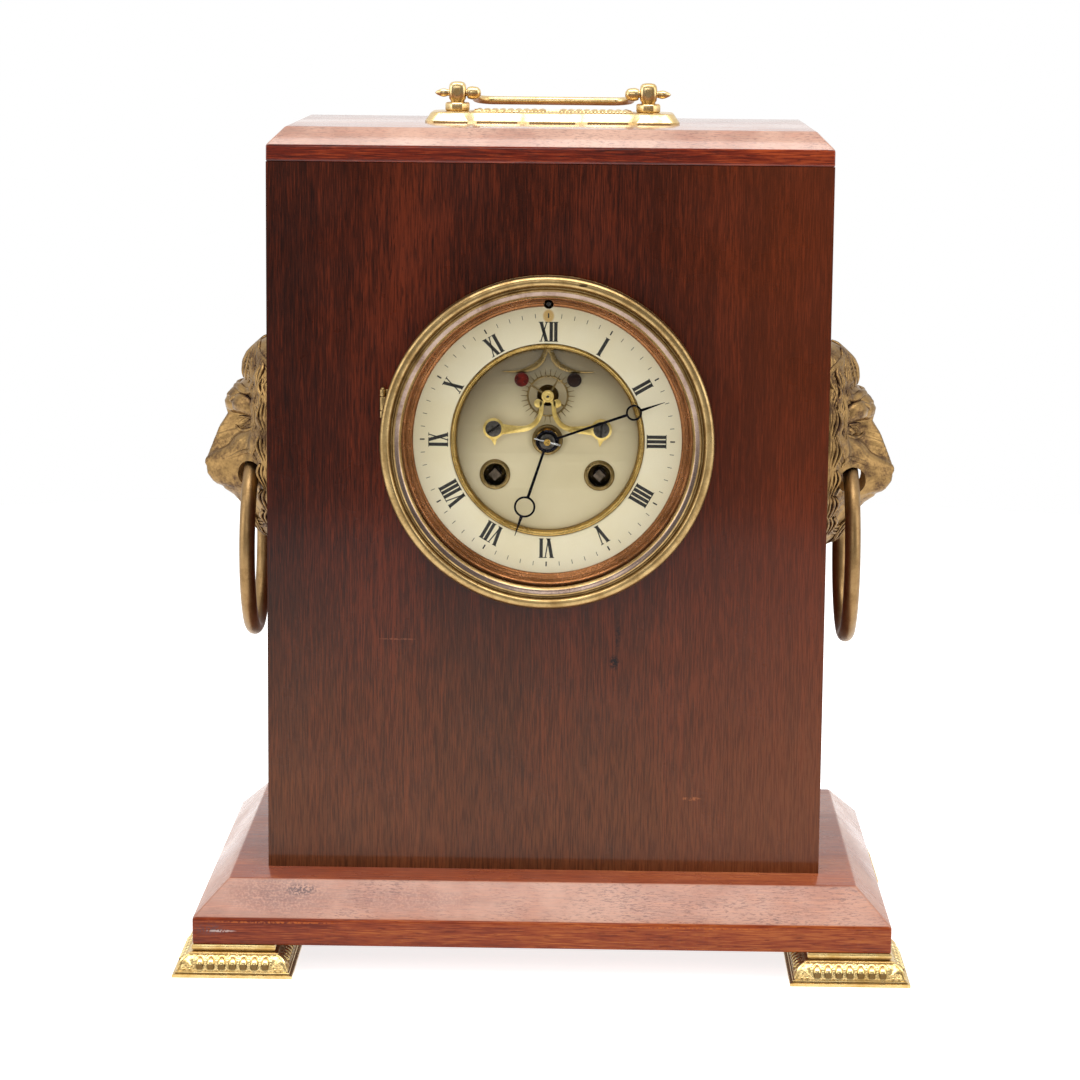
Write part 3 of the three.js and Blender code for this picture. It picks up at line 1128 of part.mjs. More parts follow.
function buildTrain() {
  const nearFront = TRAIN_FRONT + 1.0;
  const greatFront = TRAIN_FRONT + 3.9;
  const nearBack = TRAIN_BACK - 5.0;
  const [sx, sz] = SECOND;
  piece('second_wheel', 'movementBrass', trainArbor(SECOND, [
    gear(SECOND_PINION, BARREL_MODULE, greatFront, greatFront + 2.2, phases.going.pinion, 0, sx, sz),
    gear(SECOND_TEETH, SECOND_MODULE, nearBack, nearBack + WHEEL_THICK, phases.second.wheel, 0, sx, sz),
  ], greatFront, nearBack + 2));
  const [tx, tz] = THIRD;
  piece('third_wheel', 'movementBrass', trainArbor(THIRD, [
    gear(THIRD_PINION, CENTRE_MODULE, nearFront - 0.4, nearFront + 1.7, phases.centre.pinion, 0, tx, tz),
    gear(THIRD_TEETH, THIRD_MODULE, TRAIN_BACK - 2.7, TRAIN_BACK - 1.4, phases.third.wheel, 0, tx, tz),
  ], nearFront + 1.6, TRAIN_BACK - 1.2));
  const [px, pz] = PIN_WHEEL;
  const pins = circlePoints(px, pz, LIFTING_PINS_AT, LIFTING_PINS).map(({ x, y: z }) => (
    rodY(0.5, nearBack - 1.6, nearBack + 0.2, x, z, 6)));
  piece('strike_pin_wheel', 'movementBrass', trainArbor(PIN_WHEEL, [
    gear(SECOND_PINION, BARREL_MODULE, greatFront, greatFront + 2.2, phases.strike.pinion, 0, px, pz),
    gear(PIN_WHEEL_TEETH, PIN_WHEEL_MODULE, nearBack, nearBack + WHEEL_THICK, 0, 0, px, pz),
    ...pins,
  ], greatFront, nearBack + 2));

  const arbor = rodY(ARBOR, HAND_PIN_Y - 0.9, TRAIN_BACK - SLIP, 0, 0, 12);
  const pinHole = rodX(0.62, -4, 4, HAND_PIN_Y, 0, 8).rotateY(THREE.MathUtils.degToRad(HAND_PIN_ANGLE));
  const centre = join(arbor,
    gear(CANNON_LEAVES, CANNON_MODULE, FRONT_PLATE_FACE - 1.7, FRONT_PLATE_FACE - SLIP, phases.minute.pinion),
    gear(CENTRE_TEETH, CENTRE_MODULE, nearFront, nearFront + 1.2, phases.centre.wheel),
    gear(CENTRE_PINION, SECOND_MODULE, nearBack - 0.4, nearBack + 1.8, phases.second.pinion));
  piece('centre_wheel', 'movementBrass', cut(centre, pinHole).translate(0, 0, DIAL_Z));

  const studBore = 1.0 + FINE_SLIP;
  const [mx, mz] = MINUTE;
  const wheelFront = FRONT_PLATE_FACE - 1.6;
  const leavesFront = FRONT_PLATE_FACE - 4.2;
  piece('minute_wheel', 'movementBrass', join(
    gear(MINUTE_TEETH, CANNON_MODULE, wheelFront, FRONT_PLATE_FACE - SLIP,
      phases.minute.wheel, studBore, mx, mz),
    gear(HOUR_LEAVES, HOUR_MODULE, leavesFront, wheelFront + 0.1, phases.hour.pinion, studBore, mx, mz),
  ).translate(0, 0, DIAL_Z));
}

// ---------------------------------------------------------------- pendulum, bell and hammer
function buildPendulum() {
  const armBack = PENDULUM_Y + 2.4;
  const cockBack = BACK_PLATE_FACE + COCK_THICK;
  const legTop = PALLET_PIVOT_Z + 4.4;
  const legs = [-1, 1].map((side) => {
    const [inner, outer] = [side * COCK_GAP, side * COCK_HALF];
    return box(Math.min(inner, outer), Math.max(inner, outer), BACK_PLATE_FACE, cockBack,
      legTop - COCK_LEG, legTop);
  });
  const bridge = box(-COCK_HALF, COCK_HALF, BACK_PLATE_FACE, cockBack, legTop - 1, REGULATOR_Z + 3.4);
  const block = box(-COCK_ARM, COCK_ARM, cockBack - 0.2, armBack, SUSPENSION_Z - 2.4, SUSPENSION_Z + 3.6);
  const slot = box(-0.55, 0.55, PENDULUM_Y - 2.4, armBack + 1, SUSPENSION_Z - 4, SUSPENSION_Z + 5);
  const pin = rodX(0.6, -3.6, 3.6, PENDULUM_Y, SUSPENSION_Z, 10);
  const rodHole = rodY(REGULATOR_ROD + FINE_SLIP, BACK_PLATE_FACE - 1, cockBack + 2, 0, REGULATOR_Z, 12);
  const cock = join(cut(join(bridge, ...legs, block), slot, rodHole), pin);
  piece('suspension_cock', 'movementBrass', cock.translate(0, 0, DIAL_Z));
  piece('regulator_arbor', 'steel', join(
    rodY(REGULATOR_ROD, DIAL_FACE + 1.2, BACK_PLATE_FACE + 5, 0, REGULATOR_Z, 10),
    rodY(1.25, DIAL_FACE - 0.4, DIAL_FACE + 1.4, 0, REGULATOR_Z, 4),
  ).translate(0, 0, DIAL_Z));

  const bobZ = SUSPENSION_Z - PENDULUM_LENGTH;
  const chopTop = SUSPENSION_Z - SPRING_LENGTH;
  const chopBottom = chopTop - CHOP_LENGTH;
  const spring = cut(
    box(-0.25, 0.25, PENDULUM_Y - 1.9, PENDULUM_Y + 1.9, chopTop - 4, SUSPENSION_Z + 3),
    rodX(0.85, -1, 1, PENDULUM_Y, SUSPENSION_Z, 10));
  const chop = box(-1.6, 1.6, PENDULUM_Y - 2.2, PENDULUM_Y + 2.2, chopBottom, chopTop);
  const nutTop = bobZ - BOB_RADIUS - SLIP;
  const stem = rodZ(PENDULUM_ROD, nutTop - 5, chopBottom + 1, 0, PENDULUM_Y, 10);
  const nut = rodZ(3, nutTop - 3, nutTop, 0, PENDULUM_Y, 12);
  piece('pendulum_rod', 'movementBrass', join(spring, chop, stem, nut).translate(0, 0, DIAL_Z));
  const bob = turned([
    [0, PENDULUM_Y - 5], [BOB_RADIUS * 0.6, PENDULUM_Y - 4], [BOB_RADIUS - 1, PENDULUM_Y - 1.2],
    [BOB_RADIUS, PENDULUM_Y],
    [BOB_RADIUS - 1, PENDULUM_Y + 1.2], [BOB_RADIUS * 0.6, PENDULUM_Y + 4], [0, PENDULUM_Y + 5],
  ], 0, bobZ, 24);
  const boreHalf = BOB_RADIUS + 2;
  const bobBore = rodZ(PENDULUM_ROD + FINE_SLIP, bobZ - boreHalf, bobZ + boreHalf, 0, PENDULUM_Y, 10);
  piece('pendulum_bob', 'movementBrass', cut(bob, bobBore).translate(0, 0, DIAL_Z));
}

function buildBell() {
  const [mouth, crown, wall] = [BELL_MOUTH, BELL_MOUTH + BELL_DEPTH, BELL_WALL];
  const hole = 2.4;
  const outline = [[1, 0], [0.975, 0.35], [0.83, 0.72], [0.45, 0.96]];
  const outer = outline.map(([r, y]) => [r * BELL_RADIUS, mouth + y * BELL_DEPTH]);
  const inner = outline.map(([r, y]) => [r * (BELL_RADIUS - wall), mouth + y * (BELL_DEPTH - wall)]);
  inner.reverse();
  const profile = [...outer, [hole, crown], [hole, crown - wall], ...inner];
  piece('bell', 'bellMetal', turned(profile, 0, DIAL_Z + BELL_Z));
  const [standX, standZ] = [18, BELL_Z - 18];
  const at = (x, y, z) => new THREE.Vector3(x, y, z);
  const path = new THREE.CatmullRomCurve3([
    at(standX, BACK_PLATE_FACE, standZ), at(standX, mouth - 4, standZ), at(standX - 2, mouth + 3, standZ + 2),
    at(4, mouth + 8, BELL_Z - 4), at(0, crown - wall - 3.4, BELL_Z), at(0, crown + 3, BELL_Z),
  ], false, 'centripetal');
  const stand = join(
    wire(path, 1.9, 12, 6),
    rodY(4.2, BACK_PLATE_FACE, BACK_PLATE_FACE + 3, standX, standZ, 10),
    rodY(3.4, crown - wall - 2.4, crown - wall - SLIP, 0, BELL_Z, 10),
    rodY(3.6, crown + SLIP, crown + 2.6, 0, BELL_Z, 6),
  );
  piece('bell_stand', 'steel', stand.translate(0, 0, DIAL_Z));

  const [ax, az] = HAMMER_PIVOT;
  const [hx, hz] = HAMMER_HEAD;
  const armFront = mouth + 1;
  const stops = [[ax, az + 1, 2.4], [(ax + hx) / 2 - 1, (az + hz) / 2, 2], [hx, hz, 2.4]];
  const arm = sheet(ribbon(stops, 6), armFront, armFront + 1.6);
  const hammer = join(
    rodY(FINE_ARBOR, TRAIN_FRONT + SLIP, armFront + 2, ax, az, 10),
    rodY(2, armFront - 1, armFront + 2, ax, az, 12),
    arm,
    rodY(3.2, armFront - 2, armFront + 5, hx, hz, 10),
  );
  piece('strike_hammer', 'steel', hammer.translate(0, 0, DIAL_Z));
}

// ---------------------------------------------------------------- rear door
function buildRear() {
  const ringBack = CASE_BACK + REAR_RING_THICK;
  const sleeve = REAR_HOLE - SLIP;
  const sleeveFront = CASE_BACK - REAR_THICK - 1;
  const ring = turned([
    [REAR_RING_INNER, ringBack], [REAR_RING_RADIUS, ringBack],
    [REAR_RING_RADIUS, CASE_BACK], [sleeve, CASE_BACK],
    [sleeve, sleeveFront], [sleeve - SLEEVE_WALL, sleeveFront],
    [sleeve - SLEEVE_WALL, CASE_BACK], [REAR_RING_INNER, CASE_BACK],
  ], 0, DIAL_Z, STEPS);
  const front = ringBack + SLIP;
  const plate = turned([
    [0, front], [REAR_DOOR_RADIUS, front], [REAR_DOOR_RADIUS, front + REAR_DOOR_THICK],
    [REAR_DOOR_RADIUS - 2, front + REAR_DOOR_THICK + 0.8], [REAR_DOOR_RADIUS - 6, front + REAR_DOOR_THICK],
    [0, front + REAR_DOOR_THICK + 0.6],
  ], 0, DIAL_Z, STEPS);
  const knobX = KNOB_INSET - REAR_DOOR_RADIUS;
  const knob = turned([
    [0, front + 1], [1.6, front + 1], [1.6, front + 4], [3.4, front + 6], [3.4, front + 8], [0, front + 9],
  ], knobX, DIAL_Z, 14);
  const hingeX = REAR_DOOR_RADIUS + 1.7;
  const pair = hingedPair(ring, join(plate, knob), hingeX, ringBack + SLIP / 2, DIAL_Z, -6, -1);
  piece('rear_ring', 'bezelBrass', pair.ring);
  piece('rear_door', 'bezelBrass', pair.door);
}

// ---------------------------------------------------------------- assembly
buildPlinth();
buildFoot('front_left_foot', -1, -1);
buildFoot('front_right_foot', 1, -1);
buildFoot('rear_left_foot', -1, 1);
buildFoot('rear_right_foot', 1, 1);
buildPanels();
buildSlab();
buildMask('left_lion_mask', -1, RING_OUT_LEFT);
buildMask('right_lion_mask', 1, RING_OUT_RIGHT);
buildRing('left_ring_handle', -1, RING_OUT_LEFT);
buildRing('right_ring_handle', 1, RING_OUT_RIGHT);
buildHandlePlate();
buildPost('left_handle_post', -1);
buildPost('right_handle_post', 1);
buildBail();
buildBezel();
buildDial();
buildHands();
buildBridge();
buildEscapement();
buildFrame();
buildBarrel('going', GOING, phases.going.wheel);
buildBarrel('strike', STRIKE, phases.strike.wheel);
buildTrain();
buildPendulum();
buildBell();
buildRear();

export default clock;
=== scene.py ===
"""Bracket clock: mahogany case, lion masks with ring handles, carrying handle, bezel and dial."""
import math
import random

import bmesh
import bpy
import numpy as np
from mathutils import Matrix, Vector


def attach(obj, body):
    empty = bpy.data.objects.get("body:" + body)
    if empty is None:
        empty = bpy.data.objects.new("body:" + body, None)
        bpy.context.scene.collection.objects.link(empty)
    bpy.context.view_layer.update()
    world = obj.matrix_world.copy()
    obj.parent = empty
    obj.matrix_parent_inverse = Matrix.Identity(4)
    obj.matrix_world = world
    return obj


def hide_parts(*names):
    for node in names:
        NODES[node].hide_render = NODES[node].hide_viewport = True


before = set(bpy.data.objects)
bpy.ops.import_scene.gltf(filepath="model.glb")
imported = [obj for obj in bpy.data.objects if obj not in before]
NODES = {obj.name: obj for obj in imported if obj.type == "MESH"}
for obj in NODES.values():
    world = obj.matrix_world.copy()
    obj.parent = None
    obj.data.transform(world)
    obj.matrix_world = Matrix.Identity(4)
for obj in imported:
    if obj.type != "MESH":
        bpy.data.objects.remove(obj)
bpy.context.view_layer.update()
MM = 0.001

# Places in millimetres; those marked _UP and those of screws, squares and pallets count from the dial's middle.
DIAL_Z = 236.7
CASE_MIDDLE = 2.3
HALF_CASE = 125.0
SLAB_TOP = 374.3
FOOT_X, FOOT_Y = 137.25, 87.45
REGULATOR_UP, REGULATOR_HOLE = 60.9, 2.2
WINDING_X, WINDING_Z = 23.3, -15.9
SCREW_X, SCREW_Z = 24, 5.2
ESCAPE_UP, ANCHOR_UP = 19.9, 42.6
PALLET_X, PALLET_Z = 11.7, 27.2
HINGE, HINGE_Z = (-73.0, -74.55), 253.1
REAR_HINGE = (59.7, 78.15)
HINGE_ROOM = 1.7
RING_RADIUS, RING_HALF_WIDTH, RING_GRIP, RING_Z = 40.5, 3.65, 21, 212.6
HOUR_DEGREES, MINUTE_DEGREES, PIN_DEGREES = 198.3, 70.7, 14


# ------------------------------------------------------------------ geometry
def merge(*parts):
    """One (vertices, faces) pair from several."""
    points, faces = [], []
    for verts, polys in parts:
        base = len(points)
        points.extend(verts)
        faces.extend([[i + base for i in poly] for poly in polys])
    return points, faces


def moved(part, x=0.0, y=0.0, z=0.0):
    verts, faces = part
    return [(a + x, b + y, c + z) for a, b, c in verts], faces


def turned_about(part, axis, degrees, centre=(0, 0, 0)):
    pivot = Vector(centre)
    spin = Matrix.Rotation(math.radians(degrees), 3, axis)
    verts, faces = part
    return [tuple(spin @ (Vector(v) - pivot) + pivot) for v in verts], faces


def mirrored(part):
    verts, faces = part
    return [(-x, y, z) for x, y, z in verts], [list(reversed(f)) for f in faces]


def on_axis(point):
    """Whether a profile starts on the axis, which leaves it open; any other is a closed ring."""
    return point[0] < 1e-6


def placed(name, data):
    """A new object in the scene."""
    made = bpy.data.objects.new(name, data)
    bpy.context.scene.collection.objects.link(made)
    return made


def mesh_of(name, part):
    """A mesh in metres from a part in millimetres."""
    verts, faces = part
    mesh = bpy.data.meshes.new(name)
    mesh.from_pydata([(x * MM, y * MM, z * MM) for x, y, z in verts], [], faces)
    return mesh


def heading(line, i):
    """Direction of a line at one of its points."""
    return line[min(i + 1, len(line) - 1)] - line[max(i - 1, 0)]


def fillet(points, radius, steps=3):
    """Rounds the corners of a profile; a third value of a point is its own radius."""
    rounded = []
    closed = not on_axis(points[0])
    count = len(points)
    for i, point in enumerate(points):
        here = Vector(point[:2])
        size = point[2] if len(point) > 2 else radius
        if size <= 0 or (not closed and i in (0, count - 1)) or on_axis(here):
            rounded.append(tuple(here))
            continue
        before = Vector(points[i - 1][:2]) - here
        after = Vector(points[(i + 1) % count][:2]) - here
        size = min(size, 0.45 * before.length, 0.45 * after.length)
        if size < 1e-4:
            rounded.append(tuple(here))
            continue
        start, end = here + before.normalized() * size, here + after.normalized() * size
        for k in range(steps + 1):
            t = k / steps
            rounded.append(tuple(start * (1 - t) ** 2 + here * 2 * t * (1 - t) + end * t * t))
    return rounded


def lathe(profile, centre=(0.0, 0.0), steps=96, axis="Y"):
    """Surface of revolution; the profile lists (radius, place along the axis)."""
    verts, rings = [], []
    for radius, along in profile:
        if on_axis((radius, along)):
            rings.append([len(verts)])
            verts.append((0.0, along, 0.0))
            continue
        ring = []
        for i in range(steps):
            turn = 2 * math.pi * i / steps
            ring.append(len(verts))
            verts.append((radius * math.cos(turn), along, radius * math.sin(turn)))
        rings.append(ring)
    faces = []
    following = rings[1:] if on_axis(profile[0]) else rings[1:] + rings[:1]
    for a, b in zip(rings, following):
        if len(a) == 1 and len(b) == 1:
            continue
        for i in range(steps):
            j = (i + 1) % steps
            if len(a) == 1:
                faces.append([a[0], b[i], b[j]])
            elif len(b) == 1:
                faces.append([a[i], a[j], b[0]])
            else:
                faces.append([a[i], a[j], b[j], b[i]])
    if axis == "Z":
        verts = [(x, -z, y) for x, y, z in verts]
        verts = [(x + centre[0], y + centre[1], z) for x, y, z in verts]
    elif axis == "X":
        verts = [(y, x + centre[0], z + centre[1]) for x, y, z in verts]
    else:
        verts = [(x + centre[0], y, z + centre[1]) for x, y, z in verts]
    return verts, faces


def rod(radius, low, high, centre=(0.0, 0.0), steps=24, axis="Y"):
    """Round rod with flat ends."""
    return lathe([(0, low), (radius, low), (radius, high), (0, high)], centre, steps, axis)


def prism(points, front, back):
    """Flat piece with a convex outline of (x, z), parallel to the dial."""
    count = len(points)
    verts = [(x, front, z) for x, z in points] + [(x, back, z) for x, z in points]
    faces = [list(range(count)), list(range(2 * count - 1, count - 1, -1))]
    for i in range(count):
        j = (i + 1) % count
        faces.append([i, i + count, j + count, j])
    return verts, faces


def plate(outlines, front, back, bevel=0.0):
    """Flat piece parallel to the dial; the first outline of (x, z) is the edge, the rest are holes."""
    curve = bpy.data.curves.new("outline", "CURVE")
    curve.dimensions = "2D"
    curve.fill_mode = "BOTH"
    curve.extrude = (back - front) / 2 - bevel
    curve.bevel_depth = bevel
    curve.bevel_resolution = 1
    curve.offset = -bevel
    for outline in outlines:
        spline = curve.splines.new("POLY")
        spline.points.add(len(outline) - 1)
        for point, (x, z) in zip(spline.points, outline):
            point.co = (x, z, 0, 1)
        spline.use_cyclic_u = True
    holder = placed("outline", curve)
    mesh = bpy.data.meshes.new_from_object(holder.evaluated_get(bpy.context.evaluated_depsgraph_get()))
    middle = (front + back) / 2
    verts = [(v.co.x, middle - v.co.z, v.co.y) for v in mesh.vertices]
    faces = [list(p.vertices) for p in mesh.polygons]
    bpy.data.objects.remove(holder)
    bpy.data.curves.remove(curve)
    bpy.data.meshes.remove(mesh)
    return verts, faces


def loft(loops, cap=True, ring=True):
    """Skin over loops of the same number of points."""
    count = len(loops[0])
    verts = [tuple(p) for loop in loops for p in loop]
    faces = []
    for level in range(len(loops) - 1):
        for i in range(count if ring else count - 1):
            a, b = level * count + i, level * count + (i + 1) % count
            faces.append([a, b, b + count, a + count])
    if cap:
        faces.append(list(range(count - 1, -1, -1)))
        last = (len(loops) - 1) * count
        faces.append([last + i for i in range(count)])
    return verts, faces


def tube(points, radii, sides=16):
    """Round bar through the points; radii is one value or one for each point."""
    points = [Vector(p) for p in points]
    if not isinstance(radii, (list, tuple)):
        radii = [radii] * len(points)
    loops = []
    normal = None
    for i, point in enumerate(points):
        ahead = heading(points, i).normalized()
        if normal is None:
            normal = ahead.orthogonal().normalized()
        normal = (normal - ahead * normal.dot(ahead)).normalized()
        across = ahead.cross(normal)
        loops.append([point + (normal * c + across * s) * radii[i] for c, s in circle(0, 0, 1, sides)])
    return loft(loops)


def smooth_line(stops, steps):
    """Points on a Catmull-Rom line through the stops."""
    stops = [np.array(s, float) for s in stops]
    ends = [2 * stops[0] - stops[1]] + stops + [2 * stops[-1] - stops[-2]]
    line = []
    for i in range(1, len(ends) - 2):
        p0, p1, p2, p3 = ends[i - 1:i + 3]
        for k in range(steps):
            t = k / steps
            line.append(0.5 * (2 * p1 + (p2 - p0) * t + (2 * p0 - 5 * p1 + 4 * p2 - p3) * t * t
                               + (3 * p1 - p0 - 3 * p2 + p3) * t ** 3))
    line.append(stops[-1])
    return line


def ribbon(stops, steps=10):
    """Outline of a band along (x, z, width) stops."""
    line = smooth_line(stops, steps)
    left, right = [], []
    for i, here in enumerate(line):
        ahead = heading(line, i)
        across = np.array([-ahead[1], ahead[0]])
        across = across / np.linalg.norm(across) * here[2] / 2
        left.append((here[0] + across[0], here[1] + across[1]))
        right.append((here[0] - across[0], here[1] - across[1]))
    return left + right[::-1]


def arc(x, z, radius, start, end, steps):
    """Points of an arc with both its ends, angles in radians."""
    turns = [start + (end - start) * k / steps for k in range(steps + 1)]
    return [(x + radius * math.cos(turn), z + radius * math.sin(turn)) for turn in turns]


def circle(x, z, radius, steps=48):
    return arc(x, z, radius, 0, 2 * math.pi, steps)[:-1]


def step(value, low, high):
    """Smooth rise from 0 to 1 between two values."""
    t = np.clip((value - low) / (high - low), 0, 1)
    return t * t * (3 - 2 * t)


def clean(mesh, join=2e-6):
    work = bmesh.new()
    work.from_mesh(mesh)
    bmesh.ops.remove_doubles(work, verts=work.verts, dist=join)
    bmesh.ops.dissolve_degenerate(work, edges=work.edges, dist=1e-7)
    bmesh.ops.recalc_face_normals(work, faces=work.faces)
    work.to_mesh(mesh)
    work.free()


def shade(mesh, degrees):
    mesh.shade_smooth()
    mesh.set_sharp_from_angle(angle=math.radians(degrees))


def piece(name, part, body, material, replaces=(), sharp=35.0, join=2e-6):
    """A finished object in the row frame, riding on a body."""
    mesh = mesh_of(name, part)
    mesh.validate()
    clean(mesh, join)
    shade(mesh, sharp)
    mesh.materials.append(material)
    made = placed(name, mesh)
    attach(made, body)
    if replaces:
        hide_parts(*replaces)
    return made


def carve(target, cutter_part, sharp=35.0):
    """Cuts the closed cutter out of a piece."""
    mesh = mesh_of("cutter", cutter_part)
    clean(mesh)
    cutter = placed("cutter", mesh)
    change = target.modifiers.new("cut", "BOOLEAN")
    change.operation = "DIFFERENCE"
    change.solver = "EXACT"
    change.object = cutter
    result = bpy.data.meshes.new_from_object(target.evaluated_get(bpy.context.evaluated_depsgraph_get()))
    target.modifiers.clear()
    old = target.data
    target.data = result
    bpy.data.meshes.remove(old)
    bpy.data.objects.remove(cutter)
    bpy.data.meshes.remove(mesh)
    shade(result, sharp)


# ------------------------------------------------------------------ materials
class Tree:
    """The node tree of a material or of the world."""

    def __init__(self, block):
        block.use_nodes = True
        self.block, self.nodes, self.links = block, block.node_tree.nodes, block.node_tree.links
        self.nodes.clear()

    def add(self, kind, inputs=None, **settings):
        """The outputs of a new node; an input is given as a socket, a value or None."""
        node = self.nodes.new("ShaderNode" + kind)
        for key, value in settings.items():
            setattr(node, key, value)
        for key, value in (inputs or {}).items():
            if isinstance(value, bpy.types.NodeSocket):
                self.links.new(value, node.inputs[key])
            elif value is not None:
                node.inputs[key].default_value = value
        return node.outputs

    def math(self, operation, first, second, clamp=False):
        return self.add("Math", {0: first, 1: second}, operation=operation, use_clamp=clamp)[0]


class Shader(Tree):
    """A procedural material in the object's own coordinates."""

    def __init__(self, name):
        super().__init__(bpy.data.materials.new(name))
        self.place = self.add("TexCoord")["Object"]

    def finish(self, **values):
        """The material, with one Principled shader."""
        surface = self.add("BsdfPrincipled", {key.replace("_", " "): value for key, value in values.items()})
        self.add("OutputMaterial", {0: surface[0]})
        return self.block

    def stretched(self, scale):
        return self.add("Mapping", {"Vector": self.place, "Scale": scale})[0]

    def noise(self, scale, detail=3.0, rough=0.5, vector=None, bend=0.0):
        return self.add("TexNoise", {"Vector": vector or self.place, "Scale": scale, "Detail": detail,
                                     "Roughness": rough, "Distortion": bend})["Fac"]

    def between(self, value, low, high, start=0.0, end=1.0):
        return self.add("MapRange", {0: value, 1: low, 2: high, 3: start, 4: end}, interpolation_type="SMOOTHSTEP")[0]

    def ramp(self, value, stops):
        node = self.nodes.new("ShaderNodeValToRGB")
        self.links.new(value, node.inputs[0])
        band = node.color_ramp
        while len(band.elements) < len(stops):
            band.elements.new(0.5)
        for element, (at, colour) in zip(band.elements, stops):
            element.position = at
            element.color = rgba(colour)
        return node.outputs[0]

    def mix(self, share, first, second):
        first, second = (rgba(value) if isinstance(value, str) else value for value in (first, second))
        return self.add("Mix", {0: share, 6: first, 7: second}, data_type="RGBA")[2]

    def xyz(self):
        return self.add("SeparateXYZ", {0: self.place})

    def facing(self):
        """How far a face looks up, from -1 to 1."""
        return self.add("SeparateXYZ", {0: self.add("TexCoord")["Normal"]})[2]

    def spot(self, x, z, wide, tall, soft=1.0):
        """1 in the middle of an oval on the front, 0 outside it; sizes in millimetres."""
        across, _, up = self.xyz()
        dx = self.math("MULTIPLY", self.math("SUBTRACT", across, x * MM), 1 / (wide * MM))
        dz = self.math("MULTIPLY", self.math("SUBTRACT", up, z * MM), 1 / (tall * MM))
        far = self.math("ADD", self.math("MULTIPLY", dx, dx), self.math("MULTIPLY", dz, dz))
        return self.between(far, 1.0, 1.0 - soft)

    def hollow(self, reach):
        """Grows from 0 in the open to 1 deep in a hollow of the piece itself; reach in millimetres."""
        shaded = self.add("AmbientOcclusion", {"Distance": reach * MM}, samples=6, only_local=True)
        return self.math("SUBTRACT", 1.0, shaded["AO"])

    def bump(self, height, distance, strength=1.0, after=None):
        return self.add("Bump", {"Strength": strength, "Distance": distance, "Height": height, "Normal": after})[0]


def linear(channel):
    """Scene-linear value of an sRGB channel."""
    return channel / 12.92 if channel <= 0.04045 else ((channel + 0.055) / 1.055) ** 2.4


def rgba(colour):
    """Node colour of a #rrggbb text."""
    return (*(linear(int(colour[i:i + 2], 16) / 255) for i in (1, 3, 5)), 1.0)


def mahogany(name, along, dark, middle, light, floor_reflection=None, warm=None, reflection_and_cracks=None, gloss=0.3, coat=0.25, marks_and_highlights=()):
    """Polished mahogany; along is the direction of the grain; faces that look up can get a pale painted reflection with
    dark cracks in it.
    """
    s = Shader(name)
    lengthwise = {"X": (0.045, 1, 1), "Y": (1, 0.045, 1), "Z": (1, 1, 0.045)}[along]
    fibres = s.stretched(lengthwise)
    short = s.stretched(tuple(0.09 if v < 1 else 1 for v in lengthwise))
    figure = s.noise(22, 3, 0.5, s.stretched(tuple(0.16 if v < 1 else 1 for v in lengthwise)), 0.4)
    streak = s.noise(420, 4, 0.6, fibres, 0.2)
    fine = s.noise(1900, 3, 0.6, fibres)
    tone = s.math("ADD", s.math("MULTIPLY", figure, 0.32), s.math("MULTIPLY", streak, 0.24))
    tone = s.math("ADD", tone, s.math("MULTIPLY", fine, 0.44))
    base = s.ramp(tone, [(0.38, dark), (0.5, middle), (0.62, light)])
    open_pores = s.between(s.noise(1500, 2, 0.5, short), 0.6, 0.68)
    base = s.mix(s.math("MULTIPLY", open_pores, 0.6), base, dark)
    flecks = s.between(s.noise(1250, 2, 0.5, s.stretched(tuple(v * 1.6 + 0.01 for v in lengthwise))), 0.63, 0.72)
    base = s.mix(s.math("MULTIPLY", flecks, 0.45), base, light)
    across, _, up = s.xyz()
    if warm:
        left, right, colour, amount = warm
        base = s.mix(s.between(across, left * MM, right * MM, 0.0, amount), base, colour)
    # Painted reflection of the floor: paler towards the bottom of the board, in clouds.
    if floor_reflection:
        low, high, colour, amount = floor_reflection
        level = s.between(up, low * MM, high * MM, amount, 0.0)
        cloud = s.math("MULTIPLY", s.between(s.noise(14, 3, 0.5), 0.3, 0.7, 0.75, 1.0),
                       s.between(fine, 0.36, 0.62, 0.55, 1.15))
        base = s.mix(s.math("MULTIPLY", level, cloud), base, colour)
    # Painted reflection: pale colour on faces that look up, weaker on flat tops; the dark cracks in it are real grime.
    if reflection_and_cracks:
        colour, amount, grime, level = reflection_and_cracks
        upward = s.math("MULTIPLY", s.between(s.facing(), 0.5, 0.68), s.between(s.facing(), 0.88, 0.97, 1.0, level))
        cloud = s.between(s.noise(26, 4, 0.6), 0.3, 0.7, 0.55, 1.0)
        patches = s.between(s.noise(21, 4, 0.65), 0.34, 0.6)
        dashes = s.stretched(tuple(0.22 if v < 1 else 1 for v in lengthwise))
        cracks = s.between(s.noise(1500, 4, 0.75, dashes), 0.5, 0.62)
        base = s.mix(s.math("MULTIPLY", upward, s.math("MULTIPLY", cloud, amount)), base, colour)
        cracks = s.math("MULTIPLY", cracks, s.math("MULTIPLY", patches, grime))
        base = s.mix(s.math("MULTIPLY", cracks, upward), base, "#4d343a")
    # Marks on the wood: real scuffs and stains, and on the plinth a painted highlight along its upper edge.
    for x, z, wide, tall, colour, amount in marks_and_highlights:
        ragged = s.between(s.noise(900, 2, 0.5), 0.38, 0.58)
        spot_share = s.math("MULTIPLY", s.spot(x, z, wide, tall), s.math("MULTIPLY", ragged, amount))
        base = s.mix(spot_share, base, colour)
    rough = s.between(s.noise(30, 4, 0.6), 0.3, 0.72, gloss - 0.05, gloss + 0.1)
    ripple = s.bump(s.noise(55, 2, 0.4), 0.00018, 0.25)
    return s.finish(Base_Color=base, Roughness=rough, Specular_IOR_Level=0.1, Coat_Weight=coat, Coat_Roughness=0.1,
                    Normal=s.bump(open_pores, -0.00006, 0.5, ripple))


